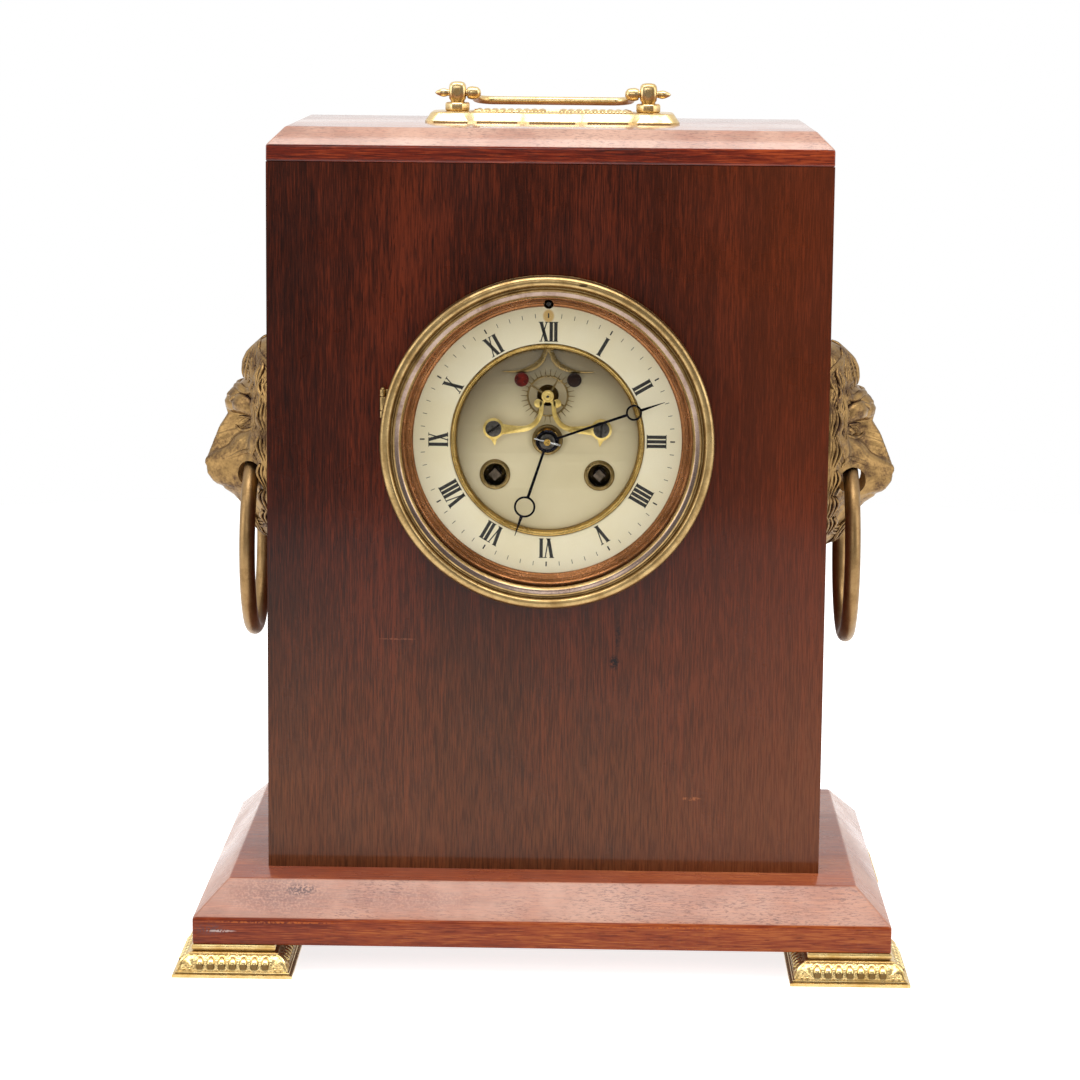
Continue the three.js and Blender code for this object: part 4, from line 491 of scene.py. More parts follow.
def brass(name, bright, dull, patina, rough=0.25, spread=0.08, amount=0.5, scratches=0.25, cavity=0.0,
          grain=0.0, shade_below=0.0, stains_and_shade=(), level=None):
    """Brass with tarnish in soft patches and fine scratches, and painted shade, in the patina colour, on faces that
    look down.
    """
    s = Shader(name)
    patches = s.noise(95, 5, 0.62)
    small = s.noise(900, 3, 0.6)
    tone = s.math("ADD", s.math("MULTIPLY", patches, 0.7), s.math("MULTIPLY", small, 0.3))
    colour = s.mix(s.between(tone, 0.38, 0.66), bright, dull)
    worn = s.math("MULTIPLY", s.between(tone, 0.5, 0.72), amount)
    if cavity:
        deep = s.between(s.hollow(cavity), 0.12, 0.62)
        worn = s.math("ADD", s.math("MULTIPLY", worn, 0.5), s.math("MULTIPLY", deep, 0.92), clamp=True)
    colour = s.mix(worn, colour, patina)
    # Painted shade: faces that look down darken towards the patina colour.
    if shade_below:
        colour = s.mix(s.between(s.facing(), 0.25, -0.25, 0.0, shade_below), colour, patina)
    # Painted shade: darker towards the bottom, below the given heights.
    if level:
        colour = s.mix(s.between(s.xyz()[2], level[0] * MM, level[1] * MM, 0.9, 0.0), colour, patina)
    # Tinted spots: real stains such as the dent, and painted shade such as round the plate's holes.
    for x, z, wide, tall, tint, share in stains_and_shade:
        colour = s.mix(s.math("MULTIPLY", s.spot(x, z, wide, tall, 0.5), share), colour, tint)
    roughness = s.between(tone, 0.3, 0.75, rough - spread / 2, rough + spread)
    if cavity:
        roughness = s.math("ADD", roughness, s.math("MULTIPLY", worn, 0.25), clamp=True)
    lines = s.noise(2600, 2, 0.6, s.stretched((1, 1, 0.05)))
    relief = s.bump(lines, 0.00001, scratches)
    if grain:
        relief = s.bump(s.noise(1300, 3, 0.6), grain, 0.6, relief)
    return s.finish(Base_Color=colour, Metallic=1.0, Roughness=roughness, Normal=relief)


def enamel(name, pale, warm, rough, shade, stains_and_shade):
    """Fired enamel; shade is painted shade, darker outside an inner radius round a given middle."""
    s = Shader(name)
    cloud = s.between(s.noise(30, 4, 0.55), 0.35, 0.7)
    colour = s.mix(s.math("MULTIPLY", cloud, 0.5), pale, warm)
    specks = s.between(s.noise(1500, 2, 0.5), 0.74, 0.8)
    colour = s.mix(s.math("MULTIPLY", specks, 0.25), colour, "#a08a60")
    # Painted shade: darker outside the inner radius, towards the tint.
    x, z, inner, outer, tint, share = shade
    edge = s.math("SUBTRACT", 1.0, s.spot(x, z, outer, outer, 1 - (inner / outer) ** 2))
    colour = s.mix(s.math("MULTIPLY", edge, share), colour, tint)
    # Spots: real stains, and painted shadows behind the escape wheel and the centre.
    for x, z, wide, tall, tint, share in stains_and_shade:
        colour = s.mix(s.math("MULTIPLY", s.spot(x, z, wide, tall, 0.6), share), colour, tint)
    return s.finish(Base_Color=colour, Roughness=s.between(s.noise(60, 3, 0.5), 0.3, 0.7, rough, rough + 0.06),
                    Specular_IOR_Level=0.35, Coat_Weight=0.15, Coat_Roughness=0.25,
                    Normal=s.bump(s.noise(120, 2, 0.5), 0.00004, 0.25))


def paint(name, colour, rough):
    s = Shader(name)
    return s.finish(Base_Color=s.mix(s.between(s.noise(1800, 3, 0.6), 0.35, 0.7), colour, "#2a2722"), Roughness=rough)


def steel(name, colour, dull, rough, cavity=0.0):
    """Steel; cavity is the reach in millimetres of the painted shade in its slots."""
    s = Shader(name)
    tone = s.noise(420, 4, 0.6)
    finish = s.mix(s.between(tone, 0.35, 0.68), colour, dull)
    # Painted shade: slots and hollows darken to near black.
    if cavity:
        finish = s.mix(s.between(s.hollow(cavity), 0.14, 0.4), finish, "#070605")
    return s.finish(Base_Color=finish, Metallic=1.0, Roughness=s.between(tone, 0.3, 0.7, rough - 0.06, rough + 0.1),
                    Normal=s.bump(s.noise(2400, 2, 0.5, s.stretched((1, 0.1, 1))), 0.000008, 0.3))


def stone(name, colour, deep):
    s = Shader(name)
    veins = s.between(s.noise(520, 4, 0.6, None, 0.8), 0.35, 0.65)
    return s.finish(Base_Color=s.mix(veins, colour, deep), Roughness=0.3, Specular_IOR_Level=0.15)


def clear_glass(name):
    s = Shader(name)
    dust = s.between(s.noise(700, 3, 0.5), 0.55, 0.75, 0.03, 0.1)
    both = s.add("MixShader", {0: s.math("MULTIPLY", s.add("Fresnel", {"IOR": 1.45})[0], dust),
                               1: s.add("BsdfTransparent", {0: (0.985, 0.985, 0.975, 1)})[0],
                               2: s.add("BsdfGlossy", {"Roughness": 0.03})[0]})
    s.add("OutputMaterial", {0: both[0]})
    return s.block


FRONT_MARKS = (
    (31.0, 136.5, 3.0, 4.2, "#150605", 1.0),
    (32.5, 149.0, 1.6, 9.0, "#200a07", 0.8),
    (66.5, 74.0, 5.5, 1.1, "#a8643c", 0.9),
    (-66.0, 146.0, 11.0, 0.5, "#8c5138", 0.7),
)
PLINTH_MARKS_AND_HIGHLIGHT = (
    (-148.0, 20.0, 9.0, 3.2, "#5b3a3c", 0.7),
    (-143.0, 19.4, 8.0, 0.7, "#cbb6ae", 0.9),
    # Bright orange lines just under the upper edge: painted highlight; the other entries are real scuffs, scratches and
    # dark marks.
    (-120.0, 23.6, 40.0, 0.6, "#c9661f", 0.7),
    (60.0, 23.6, 70.0, 0.6, "#c9661f", 0.6),
    (-118.0, 34.0, 30.0, 9.0, "#5f4043", 0.4),
    (-108.0, 36.0, 9.0, 2.6, "#3c2a33", 0.7),
    (-60.0, 33.0, 40.0, 5.0, "#6b4546", 0.25),
)
# Front panel: painted reflection of the floor, paler towards its bottom.
WOOD_FRONT = mahogany("mahogany_front", "Z", "#220903", "#3e1507", "#652610", floor_reflection=(40, 205, "#85502f", 0.52),
                      warm=(20, 125, "#7a340f", 0.3), marks_and_highlights=FRONT_MARKS)
WOOD_SIDE = mahogany("mahogany_side", "Z", "#34110a", "#5a2214", "#8a3c20")
WOOD_REAR = mahogany("mahogany_rear", "Z", "#3a180e", "#5e2a18", "#834426", gloss=0.42)
# Plinth and slab: pale painted reflection on their chamfers, with dark cracks.
WOOD_PLINTH = mahogany("mahogany_plinth", "X", "#641f0a", "#903c1a", "#b8652f", reflection_and_cracks=("#cfa590", 0.76, 0.55, 0.15),
                       gloss=0.26, marks_and_highlights=PLINTH_MARKS_AND_HIGHLIGHT)
WOOD_SLAB = mahogany("mahogany_slab", "X", "#380a02", "#70200a", "#a6441c",
                    reflection_and_cracks=("#d6ac96", 0.88, 0.45, 0.7), gloss=0.26, coat=0.7)
DENT = ((15.3, DIAL_Z + 70.4, 2.2, 0.8, "#3d2a18", 0.85),)
# Feet and handle: painted shade on faces that look down.
BRASS_FEET = brass("brass_feet", "#e4c88c", "#cca864", "#7e5822", 0.28, 0.06, 0.1, cavity=1.0, shade_below=0.4)
# Tongues: lighter than the feet's brass as a painted highlight, with painted shade on their lower half.
BRASS_TONGUE = brass("brass_tongue", "#f0d596", "#e0bf7a", "#4a2f10", 0.26, 0.06, 0.0, level=(5.5, 6.1))
BRASS_HANDLE = brass("brass_handle", "#ecd29e", "#d6b476", "#8a6636", 0.26, 0.1, 0.25, shade_below=0.45)
BRASS_MASK = brass("brass_mask", "#98794c", "#6c5336", "#3f2c2b", 0.36, 0.1, 1.6, cavity=5.0, grain=0.00005)
BRASS_RING = brass("brass_ring", "#9a7c54", "#876a44", "#5e482e", 0.4, 0.06, 0.2, 0.1)
BRASS_BEZEL = brass("brass_bezel", "#b79b6a", "#93764a", "#4e381f", 0.3, 0.08, 0.3, cavity=1.0, stains_and_shade=DENT)
BRASS_ROSE = brass("brass_rose", "#91613e", "#744a2b", "#42271a", 0.28, 0.06, 0.3, cavity=0.8)
BRASS_PINK = brass("brass_pink", "#a08b7e", "#846e62", "#5a463c", 0.24, 0.06, 0.3)
BRASS_INNER = brass("brass_inner", "#b99a5c", "#94763d", "#5f4724", 0.24, 0.08, 0.4, cavity=1.2)
BRASS_WORKS = brass("brass_works", "#d8b060", "#b98f45", "#8a6733", 0.26, 0.08, 0.3)
# Painted shade round the winding, escape and centre holes of the front plate, which lie in shadow behind the dial.
PLATE_HOLE_SHADE = ((-WINDING_X, DIAL_Z + WINDING_Z, 9, 9, "#120c07", 0.96),
              (WINDING_X, DIAL_Z + WINDING_Z, 9, 9, "#120c07", 0.96),
              (0, DIAL_Z + ESCAPE_UP, 8, 8, "#2a1a0e", 0.8), (0, DIAL_Z, 8, 8, "#120c07", 0.9))
BRASS_PLATE = brass("brass_plate", "#d8b060", "#b98f45", "#8a6733", 0.3, 0.08, 0.3, stains_and_shade=PLATE_HOLE_SHADE)
BRASS_GROMMET = brass("brass_grommet", "#857049", "#66532f", "#2f2110", 0.3, 0.1, 0.5, cavity=3.0)
BRASS_BRIDGE = brass("brass_bridge", "#d9c07a", "#bb9e56", "#86693a", 0.36, 0.08, 0.3)
ARBOR = steel("arbor_steel", "#6e6154", "#3e352c", 0.4)
BELL_METAL = brass("bell_metal", "#c9bb95", "#a9966a", "#7d6a45", 0.22, 0.08, 0.3)
# Hour ring: painted shade, most towards its top and left.
ENAMEL = enamel("enamel_ring", "#f6ecce", "#ebdcb2", 0.12, (4, DIAL_Z - 6, 46, 72, "#9c8a5c", 0.3),
                ((0, DIAL_Z + 55.6, 2.9, 3.4, "#c99a3c", 0.75),))
# Centre disc: painted shade round its edge and most at its top.
ENAMEL_CENTRE = enamel("enamel_centre", "#e0d2ac", "#cfc096", 0.34, (3, DIAL_Z - 13, 18, 52, "#5a4a30", 0.85),
                       # Painted shadows behind the escape wheel and behind the centre of the hands.
                       ((0, DIAL_Z + ESCAPE_UP, 11, 11, "#a08a62", 0.5), (0, DIAL_Z + 1, 10, 10, "#97865a", 0.5)))
INK = paint("ink", "#17140f", 0.35)
BLUED = steel("blued_steel", "#1c1b20", "#0e0d10", 0.3)
STEEL = steel("bright_steel", "#b9babb", "#8b8c8e", 0.24)
# Painted shade in the slots and hollows of the parts in this steel.
SCREW = steel("screw_steel", "#5a5652", "#37342f", 0.36, 1.4)
RED_STONE = stone("red_stone", "#641509", "#300a04")
BROWN_STONE = stone("brown_stone", "#2a160d", "#150a06")
GLASS = clear_glass("bezel_glass_clear")


# ------------------------------------------------------------------ wooden case
def dress(node, material, bevel=None, sharp=30.0, segments=2):
    """A CAD node keeps its shape and gets a material and, when a bevel is given, softened edges."""
    thing = NODES[node]
    thing.data.materials.clear()
    thing.data.materials.append(material)
    if bevel:
        soft = thing.modifiers.new("softened", "BEVEL")
        soft.width = bevel * MM
        soft.segments = segments
        soft.limit_method = "ANGLE"
        soft.angle_limit = math.radians(sharp)
        soft.harden_normals = True
    return thing


def rounded_box(left, right, front, back, bottom, top, radius, segments=3):
    work = bmesh.new()
    bmesh.ops.create_cube(work, size=1.0)
    for v in work.verts:
        v.co.x = left if v.co.x < 0 else right
        v.co.y = front if v.co.y < 0 else back
        v.co.z = bottom if v.co.z < 0 else top
    bmesh.ops.bevel(work, geom=list(work.edges), offset=radius, segments=segments, profile=0.5,
                    affect="EDGES", clamp_overlap=True)
    verts = [tuple(v.co) for v in work.verts]
    faces = [[v.index for v in f.verts] for f in work.faces]
    work.free()
    return verts, faces


def softened(part, radius, segments=3, angle=20.0):
    """Rounds the sharp edges of a closed skin."""
    verts, faces = part
    work = bmesh.new()
    made = [work.verts.new(v) for v in verts]
    for face in faces:
        work.faces.new([made[i] for i in face])
    bmesh.ops.recalc_face_normals(work, faces=work.faces)
    edges = [e for e in work.edges if e.calc_face_angle(0.0) > math.radians(angle)]
    bmesh.ops.bevel(work, geom=edges, offset=radius, segments=segments, profile=0.5, affect="EDGES",
                    clamp_overlap=True)
    work.verts.index_update()
    out = [tuple(v.co) for v in work.verts]
    polys = [[v.index for v in f.verts] for f in work.faces]
    work.free()
    return out, polys


def rectangle(half_x, half_y, z, x=0.0, y=0.0):
    return [(x - half_x, y - half_y, z), (x + half_x, y - half_y, z),
            (x + half_x, y + half_y, z), (x - half_x, y + half_y, z)]


def build_case():
    plinth = softened(loft([rectangle(155.7, 105.9, 13.1), rectangle(155.7, 105.9, 25.2),
                            rectangle(140.7, 90.9, 40.0)]), 0.9)
    piece("plinth_board", plinth, "case", WOOD_PLINTH, ["plinth"], sharp=60)
    slab = softened(loft([rectangle(125, 72.7, 359.15, 0, CASE_MIDDLE), rectangle(125, 72.7, 366.4, 0, CASE_MIDDLE),
                          rectangle(117, 64.7, SLAB_TOP, 0, CASE_MIDDLE)]), 0.7)
    piece("slab_board", slab, "case", WOOD_SLAB, ["top_slab"], sharp=60)
    for node, material in (("front_panel", WOOD_FRONT), ("rear_panel", WOOD_REAR),
                           ("left_side_panel", WOOD_SIDE), ("right_side_panel", WOOD_SIDE)):
        dress(node, material, 0.35)


# ------------------------------------------------------------------ feet
FOOT_LINE = [(26.7, 0.0), (26.7, 1.2), (26.3, 1.45), (25.4, 1.5), (25.2, 1.75), (25.5, 2.1), (25.3, 2.5), (24.7, 2.65),
             (24.55, 2.9), (24.2, 4.4), (23.4, 6.0), (22.3, 7.4), (21.0, 8.5), (20.0, 9.1), (19.9, 9.35), (20.1, 9.6),
             (19.7, 9.9), (18.5, 10.0), (17.9, 10.25), (17.9, 10.5), (18.45, 10.75), (18.75, 11.6), (18.7, 12.5),
             (18.3, 13.1)]
FLUTES = 7
FLUTE_PITCH = 4.85
BAND_LOW, BAND_HIGH = 2.9, 9.1


def foot_relief(u, z):
    """Height of the cast ornament above the band: arched frames, beaded ribs and corner leaves."""
    high = np.zeros_like(u)
    centre = 7.2
    for i in range(FLUTES):
        off = u - (i - (FLUTES - 1) / 2) * FLUTE_PITCH
        inside = np.where(z < centre, np.maximum(np.abs(off) - 1.4, 3.3 - z), np.hypot(off, z - centre) - 1.4)
        high += 0.34 * np.exp(-((inside - 0.42) / 0.3) ** 2)
    for i in range(FLUTES + 1):
        off = u - (i - FLUTES / 2) * FLUTE_PITCH
        along = (z - BAND_LOW) % 1.1 - 0.55
        high += 0.32 * np.sqrt(np.clip(1 - (off / 0.42) ** 2 - (along / 0.55) ** 2, 0, 1))
    side = np.abs(u)
    start = FLUTES / 2 * FLUTE_PITCH + 0.7
    fan = np.arctan2(z - 2.2, side - start + 1.6)
    high += step(side, start, start + 0.4) * 0.55 * (0.5 + 0.5 * np.cos(fan * 9)) * step(z, 4.8, 5.4)
    for at in (start + 1.3, start + 3.9):
        high += 0.5 * np.exp(-((np.hypot(side - at, z - 4.1) - 0.85) / 0.34) ** 2)
    return high


TONGUE = [(3.3, 0.0, 1.35), (3.45, 0.3, 1.4), (5.5, 1.35, 1.42), (6.0, 1.5, 1.42), (7.0, 1.35, 1.4), (7.6, 1.05, 1.2),
          (8.2, 0.6, 0.8), (8.5, 0.1, 0.3)]


def tongue():
    """Keeled tongue that fills one arch of the band; rows are (height, swell, half width)."""
    loops = []
    for z, swell, wide in TONGUE:
        half = band_half(z)
        front = [(wide * math.cos(math.pi * k / 12), swell * math.sin(math.pi * k / 12) ** 0.4) for k in range(13)]
        loops.append([(x, -half - out, z) for x, out in front] + [(-wide, -half + 1.2, z), (wide, -half + 1.2, z)])
    return loft(loops)


def band_half(z):
    """Half the width of a foot at a level."""
    return float(np.interp(z, [p[1] for p in FOOT_LINE], [p[0] for p in FOOT_LINE]))


def build_feet():
    """Square cast feet: plain fascia, ornamented hollow band and lip."""
    steps = 124
    share = np.linspace(-1, 1, steps, endpoint=False)
    rows = [p for p in FOOT_LINE if p[1] <= BAND_LOW]
    levels = [BAND_LOW + (BAND_HIGH - BAND_LOW) * k / 24 for k in range(1, 24)]
    rows += [(band_half(z), z) for z in levels]
    rows += [p for p in FOOT_LINE if p[1] >= BAND_HIGH]
    loops = []
    for half, z in rows:
        u = share * half
        rise = foot_relief(u, np.full_like(u, z)) * step(1 - np.abs(share), 0.0, 0.05)
        rise *= step(z, BAND_LOW - 0.01, BAND_LOW + 0.5) * (1 - step(z, BAND_HIGH - 0.4, BAND_HIGH))
        front = [(float(x), float(-half - 0.8 * h), float(z + 0.45 * h)) for x, h in zip(u, rise)]
        loops.append([(x * c - y * s, x * s + y * c, level)
                      for c, s in ((1, 0), (0, 1), (-1, 0), (0, -1)) for x, y, level in front])
    body = loft(loops)
    leaves, tongues = [], []
    for k in range(4):
        corner = [(-band_half(z), -band_half(z), z) for z in levels[::2]]
        sizes = [0.35 + 0.35 * math.sin(math.pi * (i + 0.5) / len(corner)) for i in range(len(corner))]
        leaves.append(turned_about(tube(corner, sizes, 8), "Z", 90 * k))
        row = [moved(tongue(), (i - (FLUTES - 1) / 2) * FLUTE_PITCH) for i in range(FLUTES)]
        tongues.append(turned_about(merge(*row), "Z", 90 * k))
    whole = merge(body, *leaves)
    for name, side_x, side_y in (("front_left_foot", -1, -1), ("front_right_foot", 1, -1),
                                 ("rear_left_foot", -1, 1), ("rear_right_foot", 1, 1)):
        at = side_x * FOOT_X, side_y * FOOT_Y
        piece(name + "_cast", moved(whole, *at), "case", BRASS_FEET, [name], sharp=38)
        piece(name + "_tongues", moved(merge(*tongues), *at), "case", BRASS_TONGUE, sharp=50)


# ------------------------------------------------------------------ carrying handle
def plate_outline(inset):
    length, lobe, waist = 58 - inset, 16.5 - inset, 13 - inset
    quarter = [(length, 0), (length, lobe - 4), (length - 1.2, lobe - 1.4), (length - 4, lobe), (38.5 + inset, lobe),
               (36.5 + inset * 0.5, waist + 1.6), (34.5, waist), (31, waist - 0.4), (20, waist - 0.4), (16, waist),
               (13.5, waist + 1.6), (10.5 - inset, lobe)]
    upper = quarter + [(-x, y) for x, y in reversed(quarter)]
    return upper + [(x, -y) for x, y in reversed(upper[1:-1])]


def build_handle():
    slab, top = SLAB_TOP, SLAB_TOP + 5
    loops = []
    for inset, z in ((0.0, slab), (0.0, slab + 0.9), (0.25, slab + 1.2), (2.3, top - 0.75), (2.7, top - 0.35),
                     (3.2, top - 0.1), (4.2, top)):
        loops.append([(x, CASE_MIDDLE + y, z) for x, y in plate_outline(inset)])
    body = loft(loops)
    leaves = []
    for sign in (-1, 1):
        for k in range(9):
            x = sign * (3.2 + 3.6 * k)
            for side in (-1, 1):
                reach = 8.6 - 0.25 * k
                path = [(x, CASE_MIDDLE + side * 0.8, top + 0.05),
                        (x + sign * 1.6, CASE_MIDDLE + side * reach * 0.5, top + 0.15),
                        (x + sign * 4.4, CASE_MIDDLE + side * reach, top - 0.1)]
                line = smooth_line(path, 6)
                sizes = [0.35 + 0.75 * math.sin(math.pi * min(1, i / (len(line) - 1) * 0.92 + 0.08))
                         for i in range(len(line))]
                leaves.append(tube(line, sizes, 8))
    stem = tube([(-36, CASE_MIDDLE, top), (36, CASE_MIDDLE, top)], 0.9, 10)
    bead = lathe([(0, -0.55), (0.5, -0.3), (0.55, 0.1), (0.3, 0.45), (0, 0.55)], steps=8, axis="Z")
    border = [moved(bead, -33 + 66 * k / 39, CASE_MIDDLE + side * 9.4, top + 0.05)
              for side in (-1, 1) for k in range(40)]
    piece("handle_plate_cast", merge(body, stem, *leaves, *border), "case", BRASS_HANDLE,
          ["handle_plate"], sharp=26)

    pivot = top + 8.2
    for name, side in (("left_handle_post", -1), ("right_handle_post", 1)):
        x = side * 43.8
        octagon = []
        for scale, z in ((0.9, top), (1.0, top + 0.6), (1.0, top + 3.3), (0.9, top + 3.9), (0.62, top + 4.1)):
            corners = arc(x, CASE_MIDDLE, 5.5 / math.cos(math.pi / 8) * scale, math.pi / 8, math.pi * 17 / 8, 8)[:-1]
            octagon.append([(*corner, z) for corner in corners])
        base = softened(loft(octagon), 0.18, 2, 25)
        head = []
        for radius, z, square in ((3.1, top + 3.8, 0.2), (3.2, top + 4.6, 0.35), (3.9, top + 5.6, 0.6),
                                  (4.0, pivot, 0.7), (4.0, pivot + 2.4, 0.6), (3.7, pivot + 3.9, 0.4),
                                  (2.9, pivot + 4.8, 0.2), (1.6, pivot + 5.15, 0.0), (0.5, pivot + 5.2, 0.0)):
            loop = []
            for i in range(40):
                turn = 2 * math.pi * i / 40
                c, s = math.cos(turn), math.sin(turn)
                power = 2 / (2 + 2.2 * square)
                loop.append((x + radius * math.copysign(abs(c) ** power, c),
                             CASE_MIDDLE + radius * math.copysign(abs(s) ** power, s), z))
            head.append(loop)
        post = piece(name + "_turned", merge(base, loft(head)), "case", BRASS_HANDLE, [name],
                     sharp=40)
        bore = rod(1.75, x - 8, x + 8, (CASE_MIDDLE, pivot), 32, "X")
        carve(post, bore, 40)
        dimple = lathe([(0, -1), (1.5, -1), (1.5, 0.55), (1.1, 0.85), (0, 0.95)], (0, 0), 32)
        carve(post, moved(dimple, x, CASE_MIDDLE - 4.0, pivot + 0.4), 40)

    arm, corner = 18.0, 9.0
    path = [(-36, 0, 0), (-36, arm * 0.5, 0), (-36, arm, 0)]
    for k in range(1, 12):
        turn = math.pi / 2 * k / 12
        path.append((-36 + corner * (1 - math.cos(turn)), arm + corner * math.sin(turn), 0))
    path.append((-27, 27, 0))
    middle = [(-27 + 54 * k / 12, 27, 0) for k in range(1, 12)]
    whole = path + middle + [(-x, y, z) for x, y, z in reversed(path)]
    grip = tube(whole, [1.9 if y > 4 else 1.9 + 0.1 * (4 - y) for _, y, _ in whole], 20)
    knob = fillet([(0, 54.2), (0.85, 53.4, 0.5), (1.75, 51.4, 1.2), (2.0, 50.0, 1.0), (1.6, 48.5, 0.5),
                   (1.5, 43.8 + 4.4, 0.1), (1.6, 43.8 - 4.4, 0.1), (2.5, 43.8 - 4.5, 0.3), (3.1, 37.6, 1.6),
                   (2.7, 34.4, 1.2), (1.3, 33.2, 0.8), (0, 33.0)], 0.3, 4)
    right = lathe(knob, (0, 0), 36, "X")
    bail = moved(turned_about(merge(grip, right, mirrored(right)), "X", -9), 0, CASE_MIDDLE, pivot)
    piece("carrying_bail_turned", bail, "bail", BRASS_HANDLE, ["carrying_bail"], sharp=50)


# ------------------------------------------------------------------ bezel, seat and dial
BEZEL_BACK = -74.7
DIAL_FACE = -69.5
RINGS = 192


def knuckles(axis_at, z, middle):
    """Turned hinge barrel about an upright axis; the middle part belongs to the door."""
    parts = []
    for low, high in [(z - 3.0, z + 3.0)] if middle else [(z - 6.3, z - 3.3), (z + 3.3, z + 6.3)]:
        barrel = fillet([(0, low), (1.4, low), (1.4, high), (0, high)], 0.25, 3)
        parts.append(lathe(barrel, axis_at, 28, "Z"))
    if not middle:
        for end, sign in ((z - 6.3, -1), (z + 6.3, 1)):
            button = [(0, end), (0.9, end), (1.0, end + sign * 0.5), (0.5, end + sign * 0.9), (0, end + sign * 1.0)]
            parts.append(lathe(button[::sign], axis_at, 20, "Z"))
        parts.append(rod(0.6, z - 6.4, z + 6.4, axis_at, 16, "Z"))
    return parts


def build_bezel():
    rim = fillet([
        (64.6, -78.8, 0.1), (64.6, -79.7, 0.25), (65.6, -81.0, 0.8), (67.6, -81.6, 0.8), (68.3, -81.3, 0.3),
        (68.6, -80.4, 0.2), (69.2, -80.3, 0.2), (69.7, -81.6, 0.8), (70.7, -82.8, 1.2), (72.7, -82.8, 1.4),
        (74.2, -81.3, 1.3), (74.2, -76.2, 0.3), (73.8, -75.9, 0.1), (74.2, -75.6, 0.1), (74.2, BEZEL_BACK, 0.2),
        (66.9, BEZEL_BACK, 0.05), (66.9, -78.8, 0.05)], 0.2, 4)
    door = lathe(rim, (0, DIAL_Z), RINGS)
    room = [rod(HINGE_ROOM, low, high, HINGE, 28, "Z")
            for low, high in ((HINGE_Z - 6.6, HINGE_Z - 3.0), (HINGE_Z + 3.0, HINGE_Z + 6.6))]
    made = piece("bezel_door_turned", door, "front_door", BRASS_BEZEL, ["bezel_door"], sharp=40)
    carve(made, merge(*room), 40)
    piece("bezel_door_knuckle", merge(*knuckles(HINGE, HINGE_Z, True),
          rounded_box(-73.0, -68.5, -75.9, -74.75, 250.2, 256.0, 0.1)), "front_door", BRASS_BEZEL)
    inner = fillet([(64.75, -79.3, 0.1), (64.75, -79.75, 0.1), (65.7, -81.05, 0.5), (67.5, -81.68, 0.5),
                    (67.3, -81.2, 0.1), (65.8, -80.6, 0.2)], 0.1, 3)
    piece("bezel_inner_ring", lathe(inner, (0, DIAL_Z), RINGS), "front_door", BRASS_PINK, sharp=45)
    glass = fillet([(0, -78.5), (66.6, -78.5, 0.2), (66.6, -76.7, 0.2), (0, -76.7)], 0.2, 2)
    piece("bezel_glass_pane", lathe(glass, (0, DIAL_Z), RINGS), "front_door", GLASS,
          ["bezel_glass"], sharp=40)

    seat = fillet([(59.8, -69.6, 0.05), (59.8, -70.35, 0.2), (60.5, -71.3, 0.3), (61.3, -71.5, 0.3), (61.8, -72.5, 0.4),
                   (62.6, -72.4, 0.2), (63.1, -73.5, 0.4), (63.9, -74.4, 0.3), (71.6, -74.4, 0.3), (71.6, -70.4, 0.05),
                   (65.0, -70.4, 0.0), (65.0, -68.0, 0.05), (61.0, -68.0, 0.05), (61.0, -69.6, 0.05)], 0.1, 3)
    ring = piece("bezel_seat_turned", lathe(seat, (0, DIAL_Z), RINGS), "case", BRASS_ROSE,
                 ["bezel_seat"], sharp=35)
    hole = rod(REGULATOR_HOLE, -76, -66, (0, DIAL_Z + REGULATOR_UP), 32)
    carve(ring, hole, 35)
    carve(ring, rod(HINGE_ROOM, 249.8, 256.4, HINGE, 28, "Z"), 35)
    piece("bezel_seat_knuckles", merge(*knuckles(HINGE, HINGE_Z, False),
          rounded_box(-73.0, -69.5, -74.4, -73.2, 246.9, 249.7, 0.1),
          rounded_box(-73.0, -69.5, -74.4, -73.2, 256.5, 259.3, 0.1)), "case", BRASS_BEZEL)


STROKE = 1.5
THIN = 0.5
SERIF = 0.34


def bar(x0, r0, x1, r1, width):
    """A straight stroke as a convex outline, in numeral space: x across, r outwards."""
    length = math.hypot(x1 - x0, r1 - r0)
    nx, nr = -(r1 - r0) / length * width / 2, (x1 - x0) / length * width / 2
    return [(x0 + nx, r0 + nr), (x1 + nx, r1 + nr), (x1 - nx, r1 - nr), (x0 - nx, r0 - nr)]


def stroke(x0, x1, low, high, width, serif):
    """A letter's stroke whose ends are cut square to the dial's radius, with hair serifs."""
    parts = [[(x0 - width / 2, low), (x0 + width / 2, low), (x1 + width / 2, high), (x1 - width / 2, high)]]
    for x, r in ((x0, low), (x1, high)):
        inward = SERIF if r == low else -SERIF
        half = width / 2 + serif
        parts.append([(x - half, r), (x + half, r), (x + half, r + inward), (x - half, r + inward)])
    return parts


def numeral(text, low, high):
    """Strokes of a Roman numeral read from outside to inside, feet towards the centre."""
    widths = {"I": 2.05, "V": 4.6, "X": 4.5}
    total = sum(widths[c] for c in text)
    at = -total / 2
    shapes = []
    for letter in text:
        middle = at + widths[letter] / 2
        if letter == "I":
            shapes += stroke(middle, middle, low, high, STROKE, 0.32)
        elif letter == "V":
            shapes += stroke(middle + 0.1, middle - 1.45, low, high, STROKE, 0.3)
            shapes += stroke(middle + 0.1, middle + 1.5, low, high, THIN, 0.45)
        else:
            shapes += stroke(middle + 1.25, middle - 1.25, low, high, STROKE, 0.3)
            shapes += stroke(middle - 1.3, middle + 1.3, low, high, THIN, 0.45)
        at += widths[letter]
    return shapes


def on_dial(outline, degrees):
    """From numeral space to the dial, turned clockwise from twelve."""
    turn = math.radians(degrees)
    c, s = math.cos(turn), math.sin(turn)
    return [(x * c + r * s, DIAL_Z + r * c - x * s) for x, r in outline]


